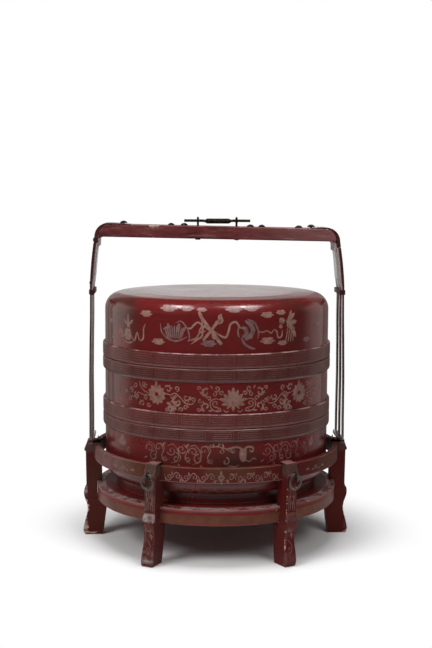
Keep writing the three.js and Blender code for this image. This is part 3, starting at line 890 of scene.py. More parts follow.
def vine(start, end, y, rise, count, width=0.8, flip=1):
    """A wavy stem with a curl in each of its bends"""
    step = (end - start) / count
    strokes = []
    for n in range(count):
        side = flip if n % 2 else -flip
        x = start + step * (n + 0.5)
        strokes.append(line((x - step * 0.55, y - side * rise * 0.2), (x - step * 0.3, y + side * rise * 0.25),
                            (x, y + side * rise * 0.42), (x + step * 0.3, y + side * rise * 0.25), width=width))
        strokes.append(curl(x + step * 0.06, y + side * rise * 0.05, abs(step) * 0.34, 90 * side, -390 * side, width))
        strokes.append(petal(x + step * 0.42, y - side * rise * 0.12, rise * 0.4, -90 * side, width * 1.3))
        strokes.append(petal(x - step * 0.45, y + side * rise * 0.2, rise * 0.32, 90 * side + 30, width * 1.2))
    return strokes


def mirrored(strokes, middle):
    return [([(2 * middle - x, y) for x, y in points], widths) for points, widths in strokes]


def shifted(strokes, across):
    return [([(x + across, y) for x, y in points], widths) for points, widths in strokes]


def all_round(strokes, radius, count=2):
    """Repeats the front's ornament round the rest of the wall"""
    return [each for n in range(count) for each in shifted(strokes, n * math.tau * radius / MM / count)]


def fold(start, turn, way):
    """Folds what lies beyond a height over the round edge of a wall, upwards or downwards"""

    def place(x, y, z):
        beyond = (z - start) * way / turn
        if beyond <= 0:
            return x, y, z
        radius = math.hypot(x, y)
        out = radius - (BOX_RADIUS - turn)
        share = (radius - out * (1 - math.cos(beyond))) / radius
        return x * share, y * share, start + way * out * math.sin(beyond)

    return place


def paint(name, strokes, radius, material, body, slot, thickness=0.12, sides=1, folded=None):
    """Lays the strokes out flat, makes them a mesh, flattens it and bends it round the wall"""
    clear_selection()
    curve = bpy.data.curves.new(name, "CURVE")
    curve.dimensions = "3D"
    curve.bevel_depth = MM
    curve.bevel_resolution = sides
    curve.use_fill_caps = True
    for points, widths in strokes:
        spline = curve.splines.new("POLY")
        spline.points.add(len(points) - 1)
        for corner, (x, z), width in zip(spline.points, points, widths):
            corner.co = (x * MM, 0, z * MM, 1)
            corner.radius = width
    piece = bpy.data.objects.new(name, curve)
    bpy.context.collection.objects.link(piece)
    piece.select_set(True)
    bpy.context.view_layer.objects.active = piece
    bpy.ops.object.convert(target="MESH")
    piece = bpy.context.object
    bpy.ops.object.mode_set(mode="EDIT")
    bpy.ops.mesh.select_all(action="SELECT")
    bpy.ops.transform.resize(value=(1, thickness, 1), center_override=(0, 0, 0))
    bpy.ops.object.mode_set(mode="OBJECT")
    if radius:
        across = [vertex.co.x for vertex in piece.data.vertices]
        bpy.ops.object.modifier_add(type="SIMPLE_DEFORM")
        bend = piece.modifiers[-1]
        bend.deform_method, bend.deform_axis = "BEND", "Z"
        bend.angle = (max(across) - min(across)) / radius
        bpy.ops.object.modifier_apply(modifier=bend.name)
        bpy.ops.object.mode_set(mode="EDIT")
        bpy.ops.mesh.select_all(action="SELECT")
        bpy.ops.transform.translate(value=(0, -radius, 0))
        tidy()
        bpy.ops.object.mode_set(mode="OBJECT")
    if folded:
        reshape(piece, folded)
    if body:
        finished(piece, material, body, slot, smooth=70)
    return piece


# Operators


class BasketPart:
    """What the operators share"""

    bl_options = {"REGISTER", "UNDO"}


class BASKET_OT_stage(BasketPart, bpy.types.Operator):
    """Adds the camera, the floor, the white surroundings and the soft studio light"""

    bl_idname = "basket.stage"
    bl_label = "Stage"

    def execute(self, context):
        stage = stage_settings()
        clear_selection()
        away = Vector((-math.sin(stage.turn), -math.cos(stage.turn), 0)) * stage.distance
        bpy.ops.object.camera_add(
            location=away + UP * stage.height, rotation=(math.pi / 2 - stage.pitch, stage.roll, stage.aim - stage.turn)
        )
        camera = context.object
        camera.data.lens = stage.lens
        camera.data.sensor_width = 36
        context.scene.camera = camera
        context.scene.view_settings.view_transform = "Standard"
        self.add_floor(stage)
        self.add_room(context, stage)
        for place, share in (((-1.3, -1.1, 1.4), 1.35), ((0.8, -1.4, 1.5), 0.75), ((0, -0.1, 1.9), 1.2)):
            clear_selection()
            place = Vector(place)
            bpy.ops.object.light_add(type="AREA", location=place)
            light = context.object
            light.rotation_euler = (Vector((0, 0, 0.15)) - place).to_track_quat("-Z", "Y").to_euler()
            light.data.shape = "RECTANGLE"
            light.data.size, light.data.size_y = 0.9, 0.7
            light.data.energy = stage.softbox_level * share
            light.visible_glossy = False
        return {"FINISHED"}

    def add_floor(self, stage):
        """A round sheet that keeps the shadow, darkened grey towards its middle with painted shadow under the basket,
        and whitens outwards until it meets the white room
        """
        clear_selection()
        bpy.ops.mesh.primitive_circle_add(vertices=96, radius=stage.floor_radius, fill_type="NGON")
        floor = bpy.context.object
        floor.name = "floor"
        finish = Finish("floor_white", roughness=0.9)
        finish.shader.inputs["Specular IOR Level"].default_value = 0.1
        white = finish.add("Emission", {}, {"Color": (1, 1, 1, 1), "Strength": 1.0})
        seen = finish.add("LightPath", {}, {}, "Is Camera Ray")
        away = finish.add("VectorMath", {"operation": "LENGTH"}, {0: finish.place}, "Value")
        fade = away.fade(stage.floor_radius * 0.38, stage.floor_radius * 0.66)
        # Painted shadow: the sheet's own grey darkens towards the middle, under the basket
        shade = away.fade(0.1, 0.27)
        finish.use(base_color=finish.mix(shade, (0.55, 0.55, 0.55), (0.95, 0.95, 0.95)))
        sheet = Value(finish, finish.shader.outputs[0])
        both = finish.add("MixShader", {}, {0: fade * seen, 1: sheet, 2: white})
        finish.tree.links.new(both.socket, finish.tree.nodes["Material Output"].inputs["Surface"])
        floor.data.materials.append(finish.material)

    def add_room(self, context, stage):
        """White to the camera. Reflections see the white sheet behind, pale walls beside and two softboxes above"""
        world = bpy.data.worlds.new("studio")
        context.scene.world = world
        room = Bench(world)
        towards = room.add("TexCoord", {}, {}, "Generated")
        depth = room.add("SeparateXYZ", {}, {0: towards}, "Y")
        height = room.add("SeparateXYZ", {}, {0: towards}, "Z")
        across = room.add("SeparateXYZ", {}, {0: towards}, "X")
        left = 1 - across.fade(-0.4, 0.4)
        side_wall = depth.fade(0.05, 0.38) * (1 - depth.fade(0.7, 0.86)) * (left * 0.27 + 0.5)
        side_wall = side_wall.most(depth.between(0.8, 0.98, 0.02) * (left * 0.12 + 0.26))
        back = depth.fade(0.983, 0.99) * 0.78
        sheet = side_wall.most(back) * (1 - height.fade(0.35, 0.5)) * height.fade(-0.5, 0.0)
        boxes = across.between(-0.7, -0.33, 0.06).most(across.between(0.03, 0.42, 0.06))
        boxes = boxes * height.between(0.84, 0.96, 0.02) * depth.between(-0.3, -0.04, 0.05) * stage.highlight_level
        shown = sheet + boxes + stage.dark_level
        glossy = room.add("LightPath", {}, {}, "Is Glossy Ray")
        seen = room.add("LightPath", {}, {}, "Is Camera Ray")
        sides = left * 0.28 + 0.71
        level = (1 - glossy) * sides * stage.room_level + glossy * shown
        level = (1 - seen) * level + seen
        tint = room.mix(glossy * side_wall.fade(0, 0.2), (1, 1, 1), (1, 0.87, 0.82))
        background = room.tree.nodes["Background"]
        room.tree.links.new(tint.socket, background.inputs["Color"])
        room.tree.links.new(level.socket, background.inputs["Strength"])


class BASKET_OT_lid(BasketPart, bpy.types.Operator):
    """Turns the lid: an upright wall, a rounded shoulder and a slightly domed top"""

    bl_idname = "basket.lid"
    bl_label = "Lid"

    def execute(self, context):
        size = sizes()
        rim = BOX_RADIUS - size.wall / 2
        shoulder, edge = size.shoulder, LID_TOP - 2 * MM
        centre = BOX_RADIUS - shoulder
        inside = shoulder - size.wall
        crown = [(BOX_RADIUS * part, LID_TOP - drop * MM) for part, drop in ((0.7, 0.5), (0.6, 0.32), (0.45, 0.18), (0.2, 0.05))]
        ceiling = LID_TOP - size.wall
        outline = [
            (BOX_RADIUS - 0.6 * MM, LID_BOTTOM), (BOX_RADIUS, LID_BOTTOM + 0.6 * MM),
            (BOX_RADIUS, LID_BOTTOM + 26 * MM), (BOX_RADIUS, LID_BOTTOM + 50 * MM),
            *arc(centre, edge - shoulder, shoulder, 0, 88, 14), *crown, (0, LID_TOP),
            (0, ceiling), (centre, ceiling - 2 * MM),
            *arc(centre, edge - shoulder, inside, 84, 0, 8), (BOX_RADIUS - size.wall, LID_BOTTOM + 20 * MM),
            (BOX_RADIUS - size.wall, LID_BOTTOM + size.lip + 0.5 * MM), (rim + 0.5 * MM, LID_BOTTOM + size.lip + 0.5 * MM),
            (rim + 0.5 * MM, LID_BOTTOM),
        ]
        lid = turned("lid_shell", outline, closed=True)
        mark_after(lid)
        finished(lid, red_lacquer(), "lid", "lacquer", "lid")
        return {"FINISHED"}


class BASKET_OT_trays(BasketPart, bpy.types.Operator):
    """Turns the two trays: floor, wall and lip, and a foot under the lower one"""

    bl_idname = "basket.trays"
    bl_label = "Trays"

    def execute(self, context):
        size = sizes()
        inner = BOX_RADIUS - size.wall
        lip = BOX_RADIUS - size.wall / 2
        soft = 0.7 * MM
        for name, bottom, seam, top in (
            ("middle_tray", MIDDLE_BOTTOM, UPPER_SEAM, MIDDLE_LIP), ("lower_tray", LOWER_BOTTOM, LOWER_SEAM, LOWER_LIP)
        ):
            wall_bottom = bottom if name == "middle_tray" else LOWER_WALL_BOTTOM
            under = bottom + size.lip + 0.5 * MM if name == "middle_tray" else LOWER_WALL_BOTTOM
            if name == "middle_tray":
                below = [(0, under), (lip + 0.5 * MM, under), (lip + 0.5 * MM, wall_bottom)]
            else:
                foot = BOX_RADIUS - 20 * MM
                below = [(0, under), (foot - 8 * MM, under), (foot - 8 * MM, bottom), (foot - soft, bottom),
                         (foot, bottom + soft), (foot, under)]
            floor = under + 6 * MM
            wall = [(BOX_RADIUS, wall_bottom + soft + (seam - wall_bottom - 2 * soft) * n / 8) for n in range(9)]
            if name == "lower_tray":
                wall = arc(BOX_RADIUS - LOW_TURN, wall_bottom + LOW_TURN, LOW_TURN, -90, 0, 10) + wall[2:]
            else:
                wall = [(BOX_RADIUS - soft, wall_bottom)] + wall
            outline = [
                *below, *wall, (BOX_RADIUS - soft, seam), (lip, seam), (lip, top - soft),
                (lip - soft, top), (inner + soft, top), (inner, top - soft), (inner, floor + 6 * MM),
                (inner - 2 * MM, floor + 2 * MM), (inner - 6 * MM, floor), (0, floor),
            ]
            tray = turned(name + "_shell", outline)
            mark_after(tray)
            finished(tray, red_lacquer() if name == "middle_tray" else low_lacquer(), name, "lacquer", name)
        return {"FINISHED"}


class BASKET_OT_bands(BasketPart, bpy.types.Operator):
    """Turns the four wooden bands round the two seams, and scores the fret on them"""

    bl_idname = "basket.bands"
    bl_label = "Bands"

    def execute(self, context):
        for name, body, upper in (
            ("lid_rim_band", "lid", True), ("middle_tray_rim_band", "middle_tray", False),
            ("middle_tray_bottom_band", "middle_tray", True), ("lower_tray_rim_band", "lower_tray", False),
        ):
            bottom, top = low(name).z, high(name).z
            inner, outer = BOX_RADIUS + 0.3 * MM, high(name).x
            if upper:
                rounded = arc(outer - 2.6 * MM, top - 2.6 * MM, 2.6 * MM, 0, 80, 5)
                profile = [(inner, bottom), (outer - 2.4 * MM, bottom), (outer - 0.8 * MM, bottom + 1.4 * MM),
                           (outer, bottom + 2.6 * MM), *rounded, (inner, top)]
            else:
                profile = [(inner, bottom), (outer - 2.8 * MM, bottom), (outer - 0.6 * MM, bottom + 2.4 * MM),
                           (outer, bottom + 4 * MM), (outer, top - 1.4 * MM), (outer - 1.4 * MM, top), (inner, top)]
            band = turned(name + "_wood", profile, closed=True)
            mark_after(band, 0.0015)
            finished(band, band_lacquer(), body, "band", name)
            fret = self.fret(outer / MM, (bottom + (4.5 if upper else 5) * MM) / MM, 1 if upper else 0.88)
            paint(name + "_fret", fret, outer + 0.05 * MM, fret_paint(), body, "band", 0.3, 0)
        return {"FINISHED"}

    def fret(self, radius, bottom, scale):
        """Square spirals side by side, each one stroke"""
        corners = ((0, 0), (44, 0), (44, 16), (4, 16), (4, 4), (40, 4), (40, 12), (8, 12), (8, 8), (36, 8))
        around = math.tau * radius
        count = round(around / 48)
        strokes = []
        for n in range(count):
            start = around * n / count - around / 2
            points = []
            for (x, y), (next_x, next_y) in zip(corners, corners[1:] + corners[-1:]):
                pieces = 5 if abs(next_x - x) > 10 else 1
                points += [(start + x + (next_x - x) * k / pieces, bottom + (y + (next_y - y) * k / pieces) * scale)
                           for k in range(pieces)]
            strokes.append(stroke(points, 0.42))
        return strokes


class BASKET_OT_lid_ornament(BasketPart, bpy.types.Operator):
    """Paints the emblems, ribbons and clouds on the lid"""

    bl_idname = "basket.lid_ornament"
    bl_label = "Lid ornament"

    def execute(self, context):
        wall = BOX_RADIUS + 0.02 * MM
        gold = [
            *self.crossed_scrolls(-19, 396), *self.gourd(118, 401), *self.vase(-178, 389),
            *cloud(-110, 373, 25), *cloud(77, 419, 24), *cloud(78, 376, 28), *cloud(107, 371, 20),
            *cloud(-135, 418, 26), *cloud(104, 422, 20), *cloud(-240, 398, 20), *cloud(200, 396, 20),
        ]
        silver = [
            *self.basket_of_flowers(-80, 392), *self.shell(44, 391), *cloud(-22, 373, 26), *cloud(-229, 370, 16),
            *cloud(164, 373, 20),
        ]
        folded = fold(LID_TOP - 2 * MM - sizes().shoulder, sizes().shoulder, 1)
        # Clouds on the shoulder, in a paler silver that stands in as painted sheen where they catch the softboxes
        painted_sheen = [*cloud(-92, 430, 32), *cloud(-60, 431, 26), *cloud(-34, 429, 18), *cloud(20, 430, 30), *cloud(50, 431, 26)]
        paint("lid_gold_ornament", all_round(gold, wall), wall, gold_paint(), "lid", "lacquer", folded=folded)
        paint("lid_silver_ornament", all_round(silver, wall), wall, silver_paint(), "lid", "lacquer", folded=folded)
        pale = finish_of("pale_silver", ornament_finish, darker(colours().silver, 1.7), 0.3)
        paint("lid_bright_clouds", all_round(painted_sheen, wall), wall, pale, "lid", "lacquer", folded=folded)
        return {"FINISHED"}

    def crossed_scrolls(self, x, y):
        """Two rods crossed and tied with a long ribbon"""
        return [
            stroke([(x - 18 + 6 * n, y + 24 - 8 * n) for n in range(7)], 3.1, (0.75, 0.95)),
            stroke([(x + 18 - 5 * n, y + 22 - 6.6 * n) for n in range(7)], 2.7, (1, 0.8)),
            curl(x + 15, y + 17, 7, 200, 330, 2.0), curl(x + 8, y - 11, 6, 60, 330, 2.2),
            line((x, y + 2), (x + 14, y - 8), (x + 25, y - 12), (x + 30, y), (x + 33, y + 10), (x + 42, y + 13), (x + 47, y + 5), (x + 52, y + 2), width=1.9),
            line((x - 4, y), (x - 12, y + 6), (x - 14, y - 10), (x - 22, y - 16), (x - 32, y - 24), width=1.9),
            line((x - 8, y - 2), (x - 17, y - 4), (x - 24, y - 14), (x - 38, y - 19), width=1.6),
            line((x - 10, y + 4), (x - 20, y + 12), (x - 27, y + 8), (x - 33, y + 2), (x - 42, y + 3), width=1.7),
            line((x - 16, y + 22), (x - 14, y + 8), (x - 20, y - 4), width=1.4),
            petal(x - 20, y + 30, 12, 300, 3.2), petal(x + 18, y + 26, 9, 230, 3),
        ]

    def gourd(self, x, y):
        """A double gourd with leaves and hanging tassels"""
        return [
            stroke([(x - 18, y + 8), (x - 15, y + 8), (x - 11, y + 7), (x - 8, y + 5)], 5.4, (0.7, 0.8)),
            stroke([(x - 18, y - 1), (x - 15, y - 2), (x - 12, y - 1)], 4.2, (0.8, 0.8)),
            petal(x - 4, y + 4, 24, 38, 4.6), petal(x - 2, y + 2, 22, 8, 5), petal(x - 3, y, 20, 338, 4.4),
            petal(x, y + 6, 20, 66, 3.4), petal(x + 8, y - 4, 20, 300, 4),
            *(line((x - 1 + 4 * n, y - 4), (x - 2 + 4.6 * n, y - 16), (x - 5 + 5.4 * n, y - 29), width=1.1) for n in range(4)),
            line((x - 12, y - 8), (x - 13, y - 18), (x - 20, y - 20), (x - 23, y - 10), (x - 28, y - 6), width=1.6),
            line((x - 28, y - 6), (x - 34, y - 12), (x - 41, y - 8), (x - 50, y - 10), (x - 56, y - 8), width=1.4),
        ]

    def vase(self, x, y):
        """A vase tied with ribbons"""
        return [
            stroke([(x, y - 18), (x, y - 12), (x, y - 5), (x, y + 1)], 8.5, (0.6, 0.7)),
            stroke([(x + 1, y + 3), (x + 1, y + 8), (x, y + 12)], 4, (0.8, 0.8)), petal(x, y + 10, 16, 90, 3),
            petal(x - 2, y + 8, 14, 140, 3), petal(x + 2, y + 8, 14, 38, 3),
            line((x + 6, y - 6), (x + 16, y - 18), (x + 23, y - 4), (x + 29, y - 16), (x + 37, y - 12), (x + 38, y + 4), (x + 42, y + 12), width=1.7),
            line((x - 6, y - 6), (x - 16, y - 14), (x - 22, y - 2), (x - 30, y - 10), width=1.6),
            line((x - 12, y - 20), (x, y - 23), (x + 12, y - 20), width=1.8),
        ]

    def basket_of_flowers(self, x, y):
        """A round basket with stems in it, under an arched handle"""
        ribs = [line((x + 4.2 * n, y + 10 - abs(n)), (x + 3.8 * n, y - 2), (x + 2.6 * n, y - 12), width=1.3) for n in range(-4, 5)]
        return [
            *ribs, line((x - 26, y + 12), (x - 22, y - 4), (x - 8, y - 14), (x + 8, y - 15), (x + 22, y - 8), width=1.5),
            line((x + 2, y + 14), (x + 12, y + 17), (x + 22, y + 6), (x + 26, y - 8), (x + 24, y - 16), width=1.3),
            line((x - 24, y - 2), (x - 12, y - 12), (x + 4, y - 18), width=1.2),
            petal(x - 20, y + 3, 16, 20, 3), petal(x + 6, y, 14, 80, 3.4), petal(x + 12, y - 4, 14, 60, 3),
            petal(x - 8, y + 2, 12, 110, 2.4),
        ]

    def shell(self, x, y):
        """A crescent shell with a horn below"""
        return [
            stroke([(x - 6, y + 20), (x + 3, y + 14), (x + 8, y + 4), (x + 4, y - 6), (x - 6, y - 11)], 4.6, (0.35, 0.6)),
            stroke([(x - 11, y + 10), (x - 5, y + 6), (x - 3, y - 2), (x - 10, y - 7)], 4.4, (0.5, 0.5)),
            line((x - 2, y + 22), (x + 10, y + 16), (x + 17, y + 2), (x + 16, y - 10), width=1.9),
            line((x - 12, y - 8), (x - 7, y - 18), (x + 4, y - 25), (x + 12, y - 27), width=2.2),
            line((x - 15, y + 14), (x - 18, y + 2), (x - 16, y - 8), width=1.5),
        ]


class BASKET_OT_tray_ornament(BasketPart, bpy.types.Operator):
    """Paints the flowers and scrolls on the two trays"""

    bl_idname = "basket.tray_ornament"
    bl_label = "Tray ornament"

    def execute(self, context):
        wall = BOX_RADIUS + 0.02 * MM
        middle = [
            *lotus(19, 281, 19), *self.lotus_scrolls(19), *mirrored(self.lotus_scrolls(19), 19),
            *flower(-113, 285, 17.5, 12), petal(-113, 285, 23, 92, 2.6, 14), *self.leaf_scrolls(-113),
            *flower(146, 284, 17, 12), petal(146, 284, 22, 92, 2.6, 13), *mirrored(self.leaf_scrolls(-146), 0),
        ]
        dark = [
            line((-84, 305), (-70, 303), (-56, 294), (-37, 280), (-46, 268), (-58, 259), width=0.75, steps=3),
            line((104, 303), (92, 301), (80, 292), (66, 278), (74, 268), (86, 260), width=0.75, steps=3),
            line((-186, 305), (-198, 296), (-202, 281), (-196, 268), (-184, 259), width=0.75, steps=3),
            line((226, 305), (238, 296), (242, 281), (236, 268), (224, 259), width=0.75, steps=3),
        ]
        paint("middle_tray_ornament", all_round(middle, wall), wall, tray_gold_paint(), "middle_tray", "lacquer")
        paint("middle_tray_lines", all_round(dark, wall), wall, dark_paint(), "middle_tray", "lacquer")
        lower = [*self.lower_scrolls(), *self.bat(36, 190)]
        paint("lower_tray_ornament", all_round(lower, wall), wall, tray_gold_paint(), "lower_tray", "lacquer")
        faint = vine(-90, 80, 125, 9, 12, 0.5)
        under = fold(LOWER_WALL_BOTTOM + LOW_TURN, LOW_TURN, -1)
        paint("lower_tray_faint_scroll", all_round(faint, wall), wall, fret_paint(), "lower_tray", "lacquer", folded=under)
        return {"FINISHED"}

    def lotus_scrolls(self, x):
        """The scrolls to the left of the lotus"""
        return [
            *leaf(x - 45, 292, 7.5, 60, 1), curl(x - 57, 299, 3.6, 0, 400, 0.9), line((x - 56, 294), (x - 52, 291), (x - 50, 287), (x - 40, 286), width=0.9),
            curl(x - 27, 299, 5, 250, 380, 1.1), curl(x - 31, 290, 4.6, 90, -380, 1.0), *leaf(x - 45, 269, 8, 250, -1),
            curl(x - 57, 264, 4, 20, -400, 0.9), curl(x - 29, 274, 6.5, 300, -390, 1.0), curl(x - 24, 265, 4.2, 200, 380, 1.0),
            line((x - 20, 280), (x - 30, 282), (x - 38, 276), (x - 36, 266), (x - 28, 261), (x - 18, 262), width=1.0),
            line((x - 16, 264), (x - 12, 260), (x - 7, 262), width=1.0), petal(x - 34, 262, 7, 180, 1.6), petal(x - 34, 298, 7, 120, 1.6),
            curl(x - 20, 291, 4, 20, 380, 1.1), curl(x - 40, 282, 4.5, 180, -380, 1.1), curl(x - 54, 277, 4, 90, 380, 1.0),
        ]

    def leaf_scrolls(self, x):
        """The leaves on both sides of a round flower"""
        return [
            *leaf(x + 22, 295, 6.5, 150, -1), *leaf(x + 39, 275, 10, 100, 1), *leaf(x + 28, 264, 7, 180, 1), *leaf(x + 54, 283, 6.5, 20, -1),
            curl(x + 37, 297, 5, 270, 380, 1.2), curl(x + 66, 279, 4.6, 180, -400, 1.1), curl(x + 53, 266, 4.6, 0, 400, 1.1),
            line((x + 15, 288), (x + 26, 286), (x + 34, 289), (x + 42, 284), (x + 52, 274), (x + 62, 272), (x + 68, 275), width=1.1),
            curl(x - 26, 300, 5, 300, -380, 1.1), *leaf(x - 22, 296, 4.5, 30, 1), curl(x - 22, 277, 4.5, 60, 400, 1.1),
            line((x - 15, 286), (x - 25, 288), (x - 34, 296), (x - 37, 304), width=1.1),
            line((x - 17, 282), (x - 28, 282), (x - 40, 284), (x - 46, 276), (x - 56, 277), width=1.0),
            *leaf(x - 42, 279, 6.5, 120, 1), curl(x - 56, 288, 5, 270, 400, 1.0), curl(x - 60, 272, 5, 90, -400, 1.0),
            *(petal(x + 30, 270, 11, turn, 2.6, 2) for turn in (170, 215, 260, 305, 350, 35)), curl(x + 20, 260, 4, 0, 380, 1.1),
            curl(x + 45, 262, 4.5, 200, -380, 1.1), curl(x + 30, 283, 4, 90, 380, 1.1), *leaf(x - 30, 266, 6, 200, -1),
            curl(x - 16, 266, 4.5, 0, -380, 1.1), curl(x - 46, 297, 5, 200, 380, 1.1), curl(x - 70, 282, 4, 0, 380, 1.0),
        ]

    def lower_scrolls(self):
        """Thin scrolls that climb and fall along the wall"""
        strokes = []
        for x, flip in ((-118, 1), (-76, -1), (-38, 1), (88, -1), (124, 1)):
            strokes += [
                curl(x - 9, 192, 8.5, 200, -400 * flip, 0.9), curl(x + 9, 196, 8, -20, 400 * flip, 0.9), curl(x, 180, 9, 90, 390 * flip, 0.9),
                line((x - 16, 200), (x - 6, 203), (x + 4, 190), (x + 1, 176), (x - 10, 171), width=0.9),
                line((x + 12, 204), (x + 20, 196), (x + 15, 182), (x + 24, 172), width=0.9),
                petal(x + 16, 199, 9, 50, 1.6), petal(x - 14, 178, 8, 210, 1.6), petal(x + 3, 171, 8, 300, 1.6),
                curl(x + 20, 178, 5, 180, 380 * flip, 0.9),
            ]
        strokes += [
            line((-22, 200), (-8, 202), (6, 199), (14, 194), (22, 197), width=1.0), petal(-6, 202, 9, 60, 1.8), petal(4, 200, 8, 110, 1.6),
            petal(8, 197, 9, 20, 1.8), petal(-14, 200, 8, 80, 1.5), curl(0, 194, 5, 90, -380, 0.9),
            petal(-196, 186, 20, 90, 6.5, 2), petal(-196, 188, 14, 150, 4), petal(-196, 188, 14, 30, 4), curl(-176, 180, 6, 90, 400, 1.2),
            petal(182, 184, 18, 90, 6, 2), curl(164, 180, 6, 90, -400, 1.0), curl(160, 194, 6, 200, 400, 1.0),
        ]
        return strokes

    def bat(self, x, y):
        """A bat with curled wings"""
        return [
            stroke([(x + 1, y + 8), (x, y + 2), (x, y - 6), (x + 1, y - 14)], 7, (0.8, 0.55)),
            curl(x - 16, y + 5, 6, 60, 300, 2.0), line((x - 2, y + 8), (x - 9, y + 11), (x - 16, y + 11), width=1.9),
            curl(x + 14, y + 5, 6, 120, -300, 1.8), line((x + 3, y + 8), (x + 9, y + 11), (x + 15, y + 10), width=1.8),
            line((x + 3, y - 10), (x + 11, y - 14), (x + 18, y - 9), (x + 24, y - 12), width=1.4),
            curl(x - 29, y - 13, 7, 80, -330, 1.2), line((x - 26, y - 20), (x - 14, y - 22), (x - 6, y - 19), width=1.1),
        ]


class BASKET_OT_base(BasketPart, bpy.types.Operator):
    """Turns the base ring, the board on it and the hoop that ties the legs"""

    bl_idname = "basket.base"
    bl_label = "Base ring, board and hoop"

    def execute(self, context):
        inner, recess = BASE_RADIUS - 26 * MM, BASE_RADIUS - 15 * MM
        ledge = BOARD_TOP - 12.7 * MM
        face = BASE_RADIUS - 0.8 * MM
        outline = [
            (inner, RING_LOW + MM), (inner + MM, RING_LOW), (face - 1.5 * MM, RING_LOW), (face, RING_LOW + 1.5 * MM),
            (face, RING_LOW + 10 * MM), (face, BOARD_TOP - 5 * MM), (face - 0.6 * MM, BOARD_TOP - 4.4 * MM),
            (face, BOARD_TOP - 3.8 * MM), (BASE_RADIUS, BOARD_TOP - 3.2 * MM), (BASE_RADIUS, BOARD_TOP - 1.2 * MM),
            (BASE_RADIUS - 0.5 * MM, BOARD_TOP - 0.4 * MM), (BASE_RADIUS - 1.4 * MM, BOARD_TOP),
            (recess, BOARD_TOP), (recess, ledge), (inner, ledge),
        ]
        ring = turned("base_ring_wood", outline, closed=True)
        mark_after(ring, 0.0012)
        chip(ring, *self.chips())
        finished(ring, base_lacquer(), "stand", "stand", "base_ring")

        edge = recess - 0.3 * MM
        bottom = low("base_board").z
        plate = turned("base_board_wood", [
            (0, bottom), (edge, bottom), (edge, BOARD_TOP - 0.6 * MM), (edge - 0.6 * MM, BOARD_TOP),
            (edge - 12 * MM, BOARD_TOP), (0, BOARD_TOP),
        ])
        mark_after(plate, 0.001)
        finished(plate, board_lacquer(), "stand", "stand", "base_board")

        bottom, top = HOOP_LOW, HOOP_HIGH
        back = HOOP_RADIUS - 9 * MM
        hoop = turned("upper_hoop_wood", [
            (back, bottom + MM), (back + MM, bottom), (HOOP_RADIUS - 1.2 * MM, bottom),
            (HOOP_RADIUS, bottom + 1.2 * MM), (HOOP_RADIUS, bottom + 13 * MM), (HOOP_RADIUS, top - 1.6 * MM),
            (HOOP_RADIUS - 0.5 * MM, top - 0.5 * MM), (HOOP_RADIUS - 1.6 * MM, top),
            (back + MM, top), (back, top - MM),
        ], closed=True)
        mark_after(hoop, 0.0011)
        finished(hoop, hoop_lacquer(), "stand", "stand", "upper_hoop")
        self.decorate()
        return {"FINISHED"}

    def chips(self):
        """Where the base ring's lower edge and face are chipped"""
        draws = random.Random(7)
        radius = BASE_RADIUS / MM
        spots = [((math.sin(0.45) * radius, -math.cos(0.45) * radius, 93), 3.4)]
        for n in range(46):
            angle = draws.uniform(0, math.tau)
            height = draws.choice((71.5, 71.5, 72, 98.5))
            spots.append(((math.cos(angle) * radius, math.sin(angle) * radius, height), draws.uniform(1, 2.6)))
        return spots

    def decorate(self):
        """Paints a scroll with a flower on the front panel, and a small flower on the side panels"""
        wall = HOOP_RADIUS + 0.02 * MM
        half = [
            *vine(-97, -10, 154, 17, 6, 0.95), *vine(97, 8, 154, 17, 6, 0.95), *flower(-1, 154, 6.5, 8),
            petal(-1, 154, 12, 90, 2, 5), petal(-1, 154, 11, 270, 2, 5), petal(-8, 150, 7, 200, 1.5), petal(6, 150, 7, 340, 1.5),
        ]
        panels = all_round(half, wall)
        paint("hoop_front_ornament", panels, wall, fret_paint(), "stand", "stand")
        third = math.tau * wall / MM / 6
        sides = [
            each for n in (-1, 1, 2, 4) for each in shifted([*flower(0, 156, 4.4, 6), petal(6, 154, 7, 340, 1.4),
            petal(-5, 154, 7, 200, 1.4), *cloud(-22, 155, 10), *cloud(22, 155, 10)], n * third * 0.8)
        ]
        paint("hoop_side_ornament", sides, wall, finish_of("faint_paint", ornament_finish, (0.15, 0.10, 0.06), 0.8), "stand", "stand")


